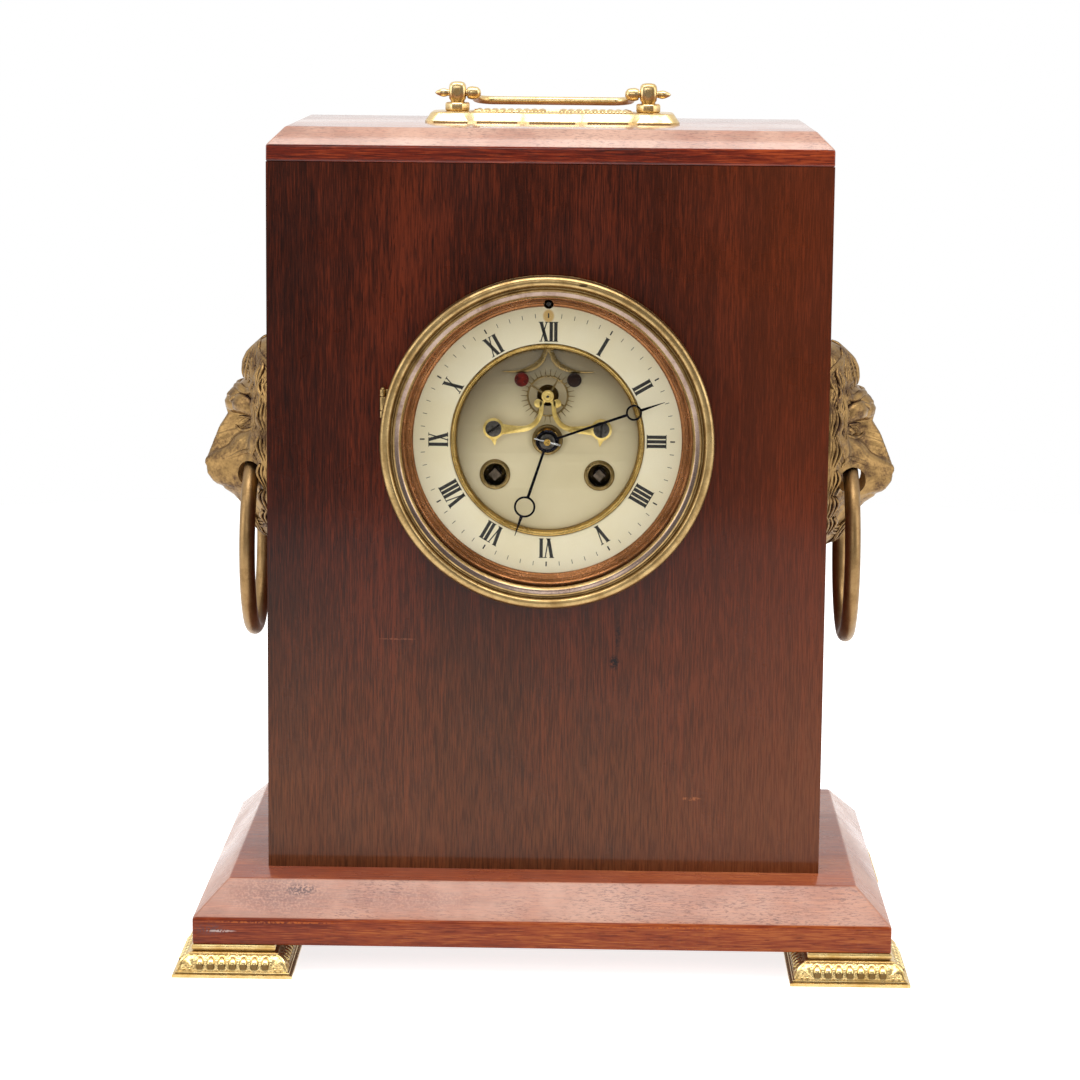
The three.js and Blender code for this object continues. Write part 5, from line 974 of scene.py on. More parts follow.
def build_dial():
    face = fillet([(43.35, -69.3, 0.1), (43.9, -69.5, 0.2), (60.4, -69.5, 0.2), (60.8, -69.3, 0.1),
                   (60.8, -68.05, 0.05), (43.35, -68.05, 0.05)], 0.1, 3)
    ring = piece("hour_ring_enamel", lathe(face, (0, DIAL_Z), RINGS), "case", ENAMEL, ["hour_ring"])
    carve(ring, rod(REGULATOR_HOLE, -76, -66, (0, DIAL_Z + REGULATOR_UP), 32))
    front, back = DIAL_FACE - 0.05, DIAL_FACE + 0.02
    printed = []
    words = ["XII", "I", "II", "III", "IIII", "V", "VI", "VII", "VIII", "IX", "X", "XI"]
    for hour, text in enumerate(words):
        for outline in numeral(text, 44.2, 53.0):
            printed.append(prism(on_dial(outline, 30 * hour), front, back))
    for minute in range(60):
        five = minute % 5 == 0
        width, low, high = (0.62, 54.7, 56.8) if five else (0.26, 54.8, 56.7)
        printed.append(prism(on_dial(bar(0, low, 0, high, width), 6 * minute), front, back))
    piece("dial_numerals", merge(*printed), "case", INK, sharp=20, join=1e-8)

    brass_ring = fillet([
        (38.0, -64.45, 0.1), (38.0, -65.5, 0.1), (40.55, -65.6, 0.0), (40.6, -68.2, 0.3), (41.0, -69.2, 0.4),
        (41.6, -69.95, 0.3), (42.0, -69.75, 0.1), (42.35, -70.0, 0.2), (42.9, -69.9, 0.2), (43.1, -69.5, 0.1),
        (43.1, -68.0, 0.0), (65.0, -68.0, 0.1), (65.0, -66.4, 0.2), (44.5, -66.4, 0.1), (44.5, -64.4, 0.2)], 0.1, 3)
    ring = piece("dial_plate_turned", lathe(brass_ring, (0, DIAL_Z), RINGS), "case", BRASS_INNER,
                 ["dial_plate"], sharp=35)
    pocket = rounded_box(-7, 7, -68.02, -66.5, DIAL_Z + 38, DIAL_Z + 46.6, 0.05, 1)
    carve(ring, pocket)
    carve(ring, rod(1.2, -69, -63, (0, DIAL_Z + ANCHOR_UP), 24))
    carve(ring, rod(REGULATOR_HOLE, -76, -63, (0, DIAL_Z + REGULATOR_UP), 32))
    supports = []
    for side in (-1, 1):
        inner, outer = sorted((side * 53.6, side * 55.2))
        supports.append(rounded_box(inner, outer, -66.9, 66.0, 232.2, 241.2, 0.3))
        foot, edge = sorted((side * 48.4, side * 55.2))
        supports.append(rounded_box(foot, edge, -66.9, -64.8, 232.2, 241.2, 0.3))
        screw = fillet([(0, -63.7), (2.2, -63.7), (2.4, -64.8), (0, -64.8)], 0.3, 3)
        supports.append(lathe(screw, (side * 51.0, DIAL_Z), 24))
    for x, z in ((-38, 12), (38, 12), (0, -41)):
        line = fillet([(0, -64.5), (2.3, -64.5), (2.3, -63.6), (1.6, -63.0), (1.6, -57.8), (0, -57.8)], 0.3, 2)
        supports.append(lathe(line, (x, DIAL_Z + z), 24))
    piece("dial_plate_supports", merge(*supports), "case", BRASS_WORKS)

    holes = [circle(0, 0, 5.5), circle(0, ESCAPE_UP, 4.8)]
    for side in (-1, 1):
        holes.append(circle(side * WINDING_X, WINDING_Z, 5.5))
    for side in (-1, 1):
        holes.append(circle(side * SCREW_X, SCREW_Z, 1.35, 20))
    disc = plate([circle(0, 0, 40.48, RINGS)] + holes, -66.6, -65.62, 0.12)
    piece("dial_centre_enamel", moved(disc, 0, 0, DIAL_Z), "case", ENAMEL_CENTRE, ["dial_centre"])
    for name, x, z in (("centre_grommet", 0, 0), ("left_winding_grommet", -WINDING_X, WINDING_Z),
                       ("right_winding_grommet", WINDING_X, WINDING_Z)):
        line = fillet([(5.0, -64.4, 0.1), (5.0, -67.1, 0.3), (5.5, -67.3, 0.3), (6.6, -67.15, 0.3), (6.9, -66.6, 0.1),
                       (5.38, -66.6, 0.0), (5.38, -64.4, 0.1)], 0.1, 3)
        piece(name + "_turned", lathe(line, (x, DIAL_Z + z), 64), "case", BRASS_GROMMET, [name])


# ------------------------------------------------------------------ hands
def moon_hand(length, ring_at, ring, boss, bore, near, far, tail_width):
    """Outline of a hand with an open ring, drawn towards +Z from its boss at the origin."""
    neck, throat, tail = near / 2, far / 2, tail_width / 2
    at_boss, at_ring = math.acos(neck / boss), math.acos(throat / ring)
    side = [(neck, math.sin(at_boss) * boss), (throat, ring_at - math.sin(at_ring) * ring)]
    side += arc(0, ring_at, ring, -at_ring, at_ring, 30)[1:-1]
    side += [(tail, ring_at + ring * math.sqrt(max(0, 1 - (tail / ring) ** 2))), (0.12, length)]
    outline = side + [(-x, z) for x, z in reversed(side)]
    outline += arc(0, 0, boss, math.pi - at_boss, 2 * math.pi + at_boss, 48)[1:-1]
    return [outline, circle(0, ring_at, ring - 0.92, 48), circle(0, 0, bore, 32)]


def build_hands():
    hour = plate(moon_hand(45, 31.2, 4.8, 5.1, 1.8, 1.15, 1.35, 1.5), -72.3, -71.8, 0.12)
    hour = moved(turned_about(hour, "Y", HOUR_DEGREES), 0, 0, DIAL_Z)
    pipe = fillet([(1.8, -72.35, 0.1), (3.0, -72.35, 0.1), (3.0, -60.4, 0.1), (1.8, -60.4, 0.1)], 0.1, 2)
    gear = plate([wheel_outline(32, 0.6, 0.85, math.pi / 32), circle(0, 0, 1.8, 24)], -61.6, -60.4, 0.05)
    piece("hour_hand_blued", hour, "hour", BLUED, ["hour_hand"])
    piece("hour_pipe", moved(merge(lathe(pipe, (0, 0), 40), gear), 0, 0, DIAL_Z), "hour", BRASS_WORKS)
    boss = fillet([(1.7, -72.9, 0.1), (4.4, -72.9, 0.3), (5.1, -72.3, 0.1), (1.7, -72.3, 0.0)], 0.1, 3)
    piece("hour_boss", lathe(boss, (0, DIAL_Z), 48), "hour", BLUED)
    minute = plate(moon_hand(55, 40.6, 3.6, 3.6, 1.62, 1.05, 1.2, 1.3), -73.8, -73.3, 0.12)
    minute = moved(turned_about(minute, "Y", MINUTE_DEGREES), 0, 0, DIAL_Z)
    piece("minute_hand_blued", minute, "minute", BLUED, ["minute_hand"])
    dome = fillet([(1.55, -73.8, 0.0), (1.55, -74.75, 0.1), (2.3, -74.7, 0.6), (3.3, -74.2, 0.4), (3.5, -73.8, 0.1)],
                  0.1, 3)
    piece("hand_washer_turned", lathe(dome, (0, DIAL_Z), 48), "minute", SCREW, ["hand_washer"])
    arbor = fillet([(0, -76.2), (1.1, -76.2, 0.3), (1.5, -75.9, 0.2), (1.5, -70.0, 0.0), (0, -70.0)], 0.1, 3)
    piece("minute_arbor_end", lathe(arbor, (0, DIAL_Z), 32), "minute", SCREW)
    pin = tube([(-6.6, 0, 0), (-3, 0, 0), (0, 0, 0), (5.4, 0, 0)], [0.28, 0.36, 0.42, 0.5], 12)
    pin = turned_about(pin, "Y", PIN_DEGREES)
    piece("hand_pin_taper", moved(pin, 0.6, -75.3, DIAL_Z), "minute", STEEL, ["hand_pin"])


# ------------------------------------------------------------------ escapement
def toothed(teeth, rows, phase=0.0):
    """Edge of a wheel; rows are (radius, place as a share of the pitch) round one tooth."""
    pitch = 2 * math.pi / teeth
    return [(radius * math.cos(phase + (i + share) * pitch), radius * math.sin(phase + (i + share) * pitch))
            for i in range(teeth) for radius, share in rows]


def wheel_outline(teeth, module, tip, phase):
    """Edge of a clock wheel with rounded teeth; tip is the thickness of its teeth, 1 for the usual."""
    pitch = teeth * module / 2
    flank = [(pitch - 1.25 * module, 0.32 * tip), (pitch - 0.1 * module, 0.22 * tip),
             (pitch + 0.8 * module, 0.06 * tip)]
    return toothed(teeth, [(radius, -share) for radius, share in flank] + flank[::-1], phase)


def spoke_windows(count, inner, outer, spoke, start):
    """Openings between the spokes of a wheel."""
    windows = []
    for i in range(count):
        low = math.radians(start) + i * 2 * math.pi / count
        high = low + 2 * math.pi / count
        windows.append(arc(0, 0, outer, low + spoke / outer, high - spoke / outer, 16)
                       + arc(0, 0, inner, high - spoke / inner, low + spoke / inner, 6))
    return windows


def build_escapement():
    teeth = toothed(30, [(9.25, -0.2), (9.6, -0.1), (12.0, -0.05), (12.0, 0.03), (9.6, 0.09), (9.25, 0.24)])
    wheel = plate([teeth] + spoke_windows(4, 2.3, 8.45, 0.42, 58), -69.0, -68.4, 0.08)
    hub = fillet([(0, -69.2), (2.4, -69.2), (2.4, -67.4), (0, -67.4)], 0.2, 2)
    arbor = lathe([(0, -70.6), (0.48, -70.6), (0.48, -69.0), (0.9, -69.0), (0.9, -19.9), (0, -19.9)], steps=24)
    leaves = plate([wheel_outline(6, 0.46, 1.0, 0.0)], -22.8, -20.5, 0.03)
    centre = (0, 0, DIAL_Z + ESCAPE_UP)
    piece("escape_wheel_cut", moved(wheel, *centre), "escape", BRASS_GROMMET, ["escape_wheel"])
    piece("escape_arbor", moved(merge(lathe(hub, (0, 0), 32), arbor, leaves), *centre), "escape", SCREW)

    front, back = -70.7, -69.8
    pieces = []
    for side in (-1, 1):
        stops = [(side * 2.6, 17.9, 1.9), (side * 2.8, 14.2, 2.0), (side * 3.5, 10.9, 2.1), (side * 5.8, 7.5, 2.3),
                 (side * 9.4, 5.5, 2.5), (side * 14.2, 5.0, 3.2), (side * 19.4, 5.0, 4.6), (side * 22.0, 5.1, 6.6)]
        pieces.append(plate([ribbon(stops, 8)], front, back, 0.15))
        pieces.append(plate([circle(side * SCREW_X, SCREW_Z, 4.7, 40)], front - 0.02, back + 0.02, 0.15))
        pieces.append(plate([circle(side * 4.2, 16.8, 1.9, 28)], front, back, 0.2))
        tail = [(side * 19.9, 3.4), (side * 22.4, 0.6), (side * 23.3, -2.6), (side * 24.9, 0.2), (side * 27.5, 2.0)]
        if side < 0:
            tail = tail[::-1]
        pieces.append(plate([tail], front, back, 0.12))
        post = fillet([(0, back + 0.2), (3.2, back + 0.2), (3.2, -66.6), (0, -66.6)], 0.1, 2)
        pieces.append(lathe(post, (side * SCREW_X, SCREW_Z), 32))
        joiner = [(side * 1.0, 18.3, 1.3), (side * 2.6, 16.8, 1.5), (side * 3.6, 16.6, 1.6)]
        pieces.append(plate([ribbon(joiner, 4)], front + 0.03, back - 0.03, 0.1))
    boss = fillet([(0.62, back, 0.0), (2.8, back, 0.1), (2.8, -70.8, 0.3), (2.2, -71.15, 0.3), (1.5, -71.0, 0.2),
                   (0.9, -71.15, 0.1), (0.62, -71.0, 0.0)], 0.1, 3)
    pieces.append(lathe(boss, (0, ESCAPE_UP), 48))
    piece("escapement_bridge_cut", moved(merge(*pieces), 0, 0, DIAL_Z), "case", BRASS_BRIDGE,
          ["escapement_bridge"], sharp=30)
    for name, side, turn in (("left_bridge_screw", -1, 35), ("right_bridge_screw", 1, 88)):
        head = fillet([(0, -71.6), (3.3, -71.6, 0.3), (3.6, -71.25, 0.1), (3.6, -70.72, 0.05), (1.2, -70.72, 0.0),
                       (1.2, -65.6, 0.1), (0, -65.6)], 0.1, 3)
        screw = piece(name + "_turned", lathe(head, (side * SCREW_X, DIAL_Z + SCREW_Z), 48), "case", SCREW,
                      [name])
        slot = prism([(-5, -0.45), (5, -0.45), (5, 0.45), (-5, 0.45)], -73, -71.1)
        slot = moved(turned_about(slot, "Y", -turn), side * SCREW_X, 0, DIAL_Z + SCREW_Z)
        carve(screw, slot)

    front, back = -67.9, -67.1
    parts = []
    for side in (-1, 1):
        stops = [(side * 0.6, 41.0, 2.2), (side * 1.7, 38.4, 2.3), (side * 3.2, 35.4, 2.5), (side * 5.9, 33.0, 2.6),
                 (side * 9.2, 31.5, 2.1), (side * 12.6, 30.7, 1.3), (side * 16.4, 30.5, 0.75),
                 (side * 20.4, 30.6, 0.4)]
        parts.append(plate([ribbon(stops, 8)], front, back, 0.15))
        parts.append(plate([circle(side * PALLET_X, PALLET_Z, 2.9, 32)], front, back, 0.1))
    collar = fillet([(0, -68.0), (2.3, -68.0, 0.2), (2.3, -67.0, 0.1), (0, -67.0)], 0.1, 2)
    parts.append(lathe(collar, (0, ANCHOR_UP), 32))
    parts.append(rod(0.9, -67.2, -13.0, (0, ANCHOR_UP), 20))
    crutch = [rounded_box(*box, 0.2) for box in (
        (-1.2, 1.2, -14.4, -13.4, 11.4, 44.1), (-1.2, 1.2, -14.0, -10.4, 11.4, 13.8),
        (-3.6, 3.6, -10.8, -9.8, 11.4, 13.8), (-3.6, -2.3, -10.6, -4.8, 11.4, 13.8),
        (2.3, 3.6, -10.6, -4.8, 11.4, 13.8))]
    piece("pallet_anchor_forged", moved(merge(*parts, *crutch), 0, 0, DIAL_Z), "anchor", BRASS_GROMMET,
          ["pallet_anchor"], sharp=30)
    for name, side, material, slot in (("left_pallet", -1, RED_STONE, "jewel_red"),
                                       ("right_pallet", 1, BROWN_STONE, "jewel_brown")):
        line = fillet([(0, -70.2), (2.2, -70.2, 0.6), (3.2, -69.95, 0.4), (3.2, -69.3, 0.1), (0.9, -69.3, 0.0),
                       (0.9, -67.1, 0.0), (0, -67.1)], 0.1, 4)
        pin = lathe(line, (side * PALLET_X, DIAL_Z + PALLET_Z), 40)
        piece(name + "_stone", pin, "anchor", material, [name])


# ------------------------------------------------------------------ lion masks
LION_PROFILE = [(176, 2.5), (179.6, 7.3), (186, 12), (192, 16.2), (196.5, 19), (200.1, 22), (203.1, 26.4),
                (205.2, 29.2), (208.4, 30.6), (211.6, 33.0), (213.6, 34.2), (215.2, 34.7), (217.4, 34.8), (219.2, 34.3),
                (223.6, 32.6), (232.6, 29.0), (238.3, 25.4), (241.1, 25.9), (244.2, 25.9), (247.7, 25.0), (250.8, 21.8),
                (254.7, 17.2), (258.5, 18.2), (263.2, 17.4), (266.9, 15.6), (271.0, 11.2), (275.2, 7.0), (277.2, 3)]
LION_FACE = [(176, 9), (190, 12), (200, 16), (207, 19.5), (213, 21.5), (222, 22), (232, 24), (245, 26), (258, 23),
             (278, 15)]
MASK_Z, MASK_UP, MASK_DOWN, MASK_WIDE, MASK_HOLLOW = 228.0, 49.0, 50.0, 40.0, 16.0


def table(rows, at):
    return np.interp(at, [r[0] for r in rows], [r[1] for r in rows])


def hill(a, z, at_a, at_z, wide, tall, lean=0.0):
    """Smooth round bump, 1 in its middle, 0 outside."""
    turn = math.radians(lean)
    da, dz = a - at_a, z - at_z
    u = (da * math.cos(turn) + dz * math.sin(turn)) / wide
    v = (-da * math.sin(turn) + dz * math.cos(turn)) / tall
    return np.exp(-(u * u + v * v))


# Bumps and hollows of the face: height, place across, level, width, height and lean.
BROW_AND_EYE = ((4.6, 10.2, 246.5, 6.4, 3.0, -24), (2.2, 17, 243.5, 5.0, 3.0, -10), (-6.6, 11.4, 235.4, 5.2, 3.6, -12))
NOSE_AND_MOUTH = ((-1.6, 9.0, 227.0, 1.6, 7.0, -28), (4.6, 8.6, 209.3, 6.2, 4.6, 20), (1.7, 4.6, 216.2, 2.6, 2.0, 0),
                  (-3.0, 3.7, 213.4, 1.35, 0.95, 25), (-1.2, 0, 208.8, 0.8, 3.0, 0))
EYE_A, EYE_Z = 12.2, 235.0


def lion(a, z, spread, turn):
    """Reach of the lion's head above the case side."""
    side = np.abs(a)
    reach = table(LION_PROFILE, z)
    width = table(LION_FACE, z)
    share = side / width
    fall = 1 - step(share, 0.16, 1.12)
    head = reach * (0.36 + 0.64 * fall) * (1 - 0.9 * step(share, 0.98, 1.4))
    ridge = step(z, 218, 226) * (1 - step(z, 246, 252))
    head -= ridge * 6.2 * step(side, 2.6, 8.5) * (1 - step(side, 18, 25)) * 0.8
    for height, *place in BROW_AND_EYE:
        head += height * hill(side, z, *place)
    eye = np.sqrt(np.clip(1 - ((side - EYE_A) / 3.3) ** 2 - ((z - EYE_Z) / 2.1) ** 2, 0, 1))
    head += 3.0 * eye
    lids = ((side - EYE_A) / 4.3) ** 2 + ((z - EYE_Z - 0.2) / 2.9) ** 2
    head += 1.2 * np.exp(-((lids - 1.0) / 0.26) ** 2)
    head -= 1.1 * hill(side, z, EYE_A, EYE_Z, 0.9, 0.9) * (eye > 0)
    head += 4.6 * hill(side, z, 17.0, 226.5, 6.0, 5.0, 20)
    head += 0.55 * np.sin(side * 3.4 + z * 0.7) * np.sin(z * 2.6) * hill(side, z, 17.5, 226, 5.0, 4.5)
    for height, *place in NOSE_AND_MOUTH:
        head += height * hill(side, z, *place)
    mouth = z - (203.6 - 0.012 * side * side + 0.25 * side)
    head -= 1.8 * np.exp(-(mouth / 0.9) ** 2) * (1 - step(side, 8, 12)) * step(reach, 18, 22)
    head += 0.8 * hill(side, z, 0, 198.0, 6.0, 3.2)
    head += 0.35 * np.sin((z - 0.9 * side) * 1.3) * hill(side, z, 6.5, 229, 3.5, 6.5)
    head += 0.25 * np.sin(z * 2.9 + side) * np.sin(side * 3.1) * hill(side, z, 3.0, 226, 5.0, 9.0)
    head += 0.35 * np.sin(side * 2.6 + z * 0.3) * np.sin(z * 2.3) * hill(side, z, 8, 209, 5.5, 4)
    head += 3.4 * hill(side, z, 21.5, 256, 4.2, 4.6) - 2.8 * hill(side, z, 21.2, 255.3, 2.2, 2.6)
    mane = 3.0 + 7.5 * np.sqrt(np.clip(1 - spread ** 2, 0, 1))
    waves = np.sin(turn * 34 + 5.0 * spread * np.sin(turn * 3 + 0.7)) * step(spread, 0.5, 0.66)
    mane += 0.75 * waves * (1 - step(spread, 0.9, 1.0) * 0.6)
    strands = np.sin(turn * 96 + 7 * spread * np.cos(turn * 5)) * step(spread, 0.48, 0.62)
    mane += 0.28 * strands
    softness = 2.2
    blend = np.logaddexp(head / softness, mane / softness) * softness
    edge = step(spread, 0.93, 1.0)
    return np.minimum(blend, table(LION_PROFILE, z) + 3.5 * step(side, 4, 10)) * (1 - edge) + 3.0 * edge


def mask_width(up):
    """Share of the full width at a height from -1 at the chin to 1 at the crown."""
    return 1 - (0.42 if up < 0 else 0.16) * up ** 2


def on_mask(share, turn):
    """Place along the case side and height, at a share of the mask's radius."""
    across, up = math.cos(turn), math.sin(turn)
    return MASK_WIDE * share * across * mask_width(up), MASK_Z + (MASK_UP if up > 0 else MASK_DOWN) * share * up


def lion_shell(rows=84, turns=216):
    """Closed casting: modelled outside, smooth hollow inside."""
    turn = np.linspace(0, 2 * np.pi, turns, endpoint=False)
    spread = np.linspace(1, 0, rows, endpoint=False)
    t, s = np.meshgrid(turn, spread)
    a, z = np.vectorize(on_mask)(s, t)
    outer = lion(a, z, s, t)
    verts = [tuple(v) for v in np.stack([outer, a, z], -1).reshape(-1, 3)]
    top = len(verts)
    middle = lion(np.array([0.0]), np.array([MASK_Z]), np.array([0.0]), np.array([0.0]))[0]
    verts.append((float(middle), 0.0, MASK_Z))
    faces = []
    for r in range(rows - 1):
        for i in range(turns):
            j = (i + 1) % turns
            faces.append([r * turns + i, r * turns + j, (r + 1) * turns + j, (r + 1) * turns + i])
    last = (rows - 1) * turns
    faces.extend([[last + i, last + (i + 1) % turns, top] for i in range(turns)])
    base = len(verts)
    back_rows = [1.0, 0.9, 0.88, 0.7, 0.5, 0.3, 0.12]
    for k, share in enumerate(back_rows):
        for i in range(turns):
            across, up = on_mask(share, turn[i])
            follow = float(table(LION_PROFILE, up)) * (1 - min(1, abs(across) / 24) ** 2) * 0.62 - 3
            verts.append((0.0 if k < 2 else min(max(0.6, follow), MASK_HOLLOW), across, up))
    verts.append((MASK_HOLLOW, 0.0, MASK_Z))
    for i in range(turns):
        j = (i + 1) % turns
        faces.append([i, j, base + j, base + i])
        for k in range(len(back_rows) - 1):
            a0, b0 = base + k * turns, base + (k + 1) * turns
            faces.append([a0 + i, a0 + j, b0 + j, b0 + i])
        inmost = base + (len(back_rows) - 1) * turns
        faces.append([inmost + i, inmost + j, len(verts) - 1])
    return verts, faces


def lion_locks():
    """Wavy locks of the mane, each of several strands, and the lock on the crown."""
    draw = random.Random(21)
    parts = []

    def reach_at(a, z):
        rise_z = (z - MASK_Z) / (MASK_UP if z > MASK_Z else MASK_DOWN)
        spread, turn = 1.0, 0.0
        for _ in range(12):
            across = a / (MASK_WIDE * mask_width(max(-1, min(1, rise_z / max(spread, 1e-3)))))
            spread = 0.5 * spread + 0.5 * math.hypot(across, rise_z)
            turn = math.atan2(rise_z, across)
        spread = min(spread, 1.0)
        return float(lion(np.array([a]), np.array([z]), np.array([spread]), np.array([turn]))[0])

    def lock(points, width, count=4):
        line = smooth_line(points, 6)
        for k in range(count):
            offset = (k - (count - 1) / 2) * width / count
            path, sizes = [], []
            for i, p in enumerate(line):
                ahead = heading(line, i)
                across = np.array([-ahead[1], ahead[0]])
                across = across / (np.linalg.norm(across) + 1e-9)
                t = i / (len(line) - 1)
                body = math.sin(math.pi * min(1, 0.16 + 0.84 * t)) ** 0.6 if t < 1 else 0
                spread = offset * (0.35 + 0.75 * math.sin(math.pi * min(1, 0.2 + 0.7 * t)))
                a, z = p[0] + across[0] * spread, p[1] + across[1] * spread
                crown = (1 - (2 * offset / width) ** 2) * 0.9
                path.append((max(2.4, reach_at(a, z)) + crown * body, a, z))
                sizes.append(max(0.1, width / count * 0.72 * body))
            parts.append(tube(path, sizes, 7))

    def rim(turn_from, turn_to, level, swing, width=1.05):
        """Strand that runs round the edge of the casting, level millimetres above the case."""
        path, sizes = [], []
        for i in range(19):
            t = i / 18
            turn = math.radians(turn_from + (turn_to - turn_from) * t)
            out = level + swing * math.sin(math.pi * 1.6 * t)
            a, z = on_mask(1.0 - 0.012 * max(0.0, out - 1.0), turn)
            path.append((out, a - 0.55 * width * math.cos(turn), z))
            sizes.append(width * (0.25 + 0.75 * math.sin(math.pi * min(1, 0.12 + 0.88 * t)) ** 0.5))
        return path, sizes

    def both(path, sizes, sides=8):
        for side in (-1, 1):
            parts.append(tube([(o, side * a, z) for o, a, z in path], sizes, sides))

    for start, end in ((84, 52), (66, 34), (47, 17), (30, -1), (13, -18), (-4, -34), (-21, -52), (-38, -68)):
        for k in range(4):
            both(*rim(start - 2.2 * k, end + 2.0 * k, 1.4 + 1.75 * k, 0.9 + 0.2 * k, draw.uniform(0.85, 1.1)))

    def fold(points, thick, sink=0.45):
        """Thick roll of skin or hair lying on the face."""
        line = smooth_line([(*p, 0) for p in points], 7)
        path, sizes = [], []
        for i, p in enumerate(line):
            t = i / (len(line) - 1)
            size = thick * math.sin(math.pi * min(1, 0.14 + 0.82 * t)) ** 0.6
            path.append((reach_at(p[0], p[1]) - sink * size, p[0], p[1]))
            sizes.append(max(0.15, size))
        both(path, sizes, 10)

    def over(turn_from, turn_to, share, width):
        """Wavy strand that lies on the mane at a share of the mask's radius."""
        path, sizes = [], []
        for i in range(13):
            t = i / 12
            turn = math.radians(turn_from + (turn_to - turn_from) * t)
            a, z = on_mask(share + 0.035 * math.sin(math.pi * 1.7 * t), turn)
            if math.hypot(a - 20.0, z - 211.0) < 10.0 or (a < 22.0 and 212.0 < z < 240.0):
                return
            path.append((reach_at(a, z) - 0.1 * width, a, z))
            sizes.append(width * (0.2 + 0.8 * math.sin(math.pi * min(1, 0.1 + 0.86 * t)) ** 0.6))
        both(path, sizes, 7)

    fold([(-2.0, 244.6), (4.0, 243.8), (10, 244.4), (16.0, 243.2), (22.5, 236.5)], 5.6, 0.84)
    fold([(3.0, 251.0), (8.5, 251.6), (14.0, 250.0), (20.0, 250.6), (25, 245.0)], 2.2, 0.6)
    fold([(8.0, 244.0), (12.0, 247.0), (17.0, 246.4), (22.5, 241.0)], 1.3, 0.1)
    fold([(6.5, 237.4), (10.5, 237.6), (15.0, 237.2), (19.0, 233.8)], 1.0, 0.3)
    fold([(7.2, 233.2), (10.5, 231.6), (14.5, 232.0), (18.5, 234.6)], 1.0, 0.3)
    fold([(14, 219.0), (18, 222.4), (22.5, 223.0), (25.5, 219.5)], 1.3)
    for k in range(9):
        start = 0.4 + 1.1 * k
        fold([(start * 0.5, 275.0 - 0.55 * k), (start + 2.0 + 1.0 * k, 270.5 - 0.6 * k),
              (start + 3.4 + 1.9 * k, 263.6 - 0.5 * k), (start + 2.0 + 2.2 * k, 256.6 - 0.9 * k)],
             draw.uniform(1.2, 1.6), 0.3)
    for share, turns in ((0.86, (74, 50, 27, 5, -17, -40, -62)), (0.77, (62, 40, 18, -5)), (0.69, (50, 26, 4))):
        for turn in turns:
            for k in range(3):
                over(turn + 14 - 2 * k, turn - 22 + 2 * k, share + 0.03 * (1 - k), draw.uniform(0.8, 1.1))
    for k in range(5):
        shift = (k - 2) * 3.4
        lock([(shift * 0.6, 195.5), (shift * 0.9, 190.5), (shift + 1.2 * math.sin(k), 185.5), (shift * 0.7, 181.0)],
             3.2, 3)
    return merge(*parts)


def build_masks():
    shell, locks = lion_shell(), lion_locks()
    lift = math.sqrt(RING_RADIUS ** 2 - RING_GRIP ** 2)
    room = [(0.0, -46.0), (5.4, -46.0)]
    for i in range(-6, 7):
        y = i / 6 * 17
        room.append((max(5.4, math.sqrt(RING_RADIUS ** 2 - y * y) - lift + RING_HALF_WIDTH + 0.6), y))
    spindle = lathe(room + [(5.4, 46.0), (0.0, 46.0)], steps=28)
    section = arc(0, 0, RING_HALF_WIDTH, 0, 2 * math.pi, 20)[:-1]
    for side, hand, out in ((-1, "left", 12.5), (1, "right", 14.5)):
        name, x = hand + "_lion_mask", side * (HALF_CASE + out)

        def place(part):
            verts, faces = part
            return [(side * (HALF_CASE + o), CASE_MIDDLE + side * a, z) for o, a, z in verts], faces
        made = piece(name + "_cast", place(shell), "case", BRASS_MASK, [name], sharp=60)
        carve(made, moved(spindle, x, CASE_MIDDLE, RING_Z), 60)
        piece(name + "_mane", place(locks), "case", BRASS_MASK, sharp=60)
        ring = [[(x + across, CASE_MIDDLE + (RING_RADIUS + outward) * c, RING_Z - lift + (RING_RADIUS + outward) * s)
                 for across, outward in section] for c, s in arc(0, 0, 1, 0, 2 * math.pi, 96)[:-1]]
        piece(hand + "_ring_cast", loft(ring + [ring[0]], cap=False), hand + "_ring", BRASS_RING,
              [hand + "_ring_handle"], sharp=60)


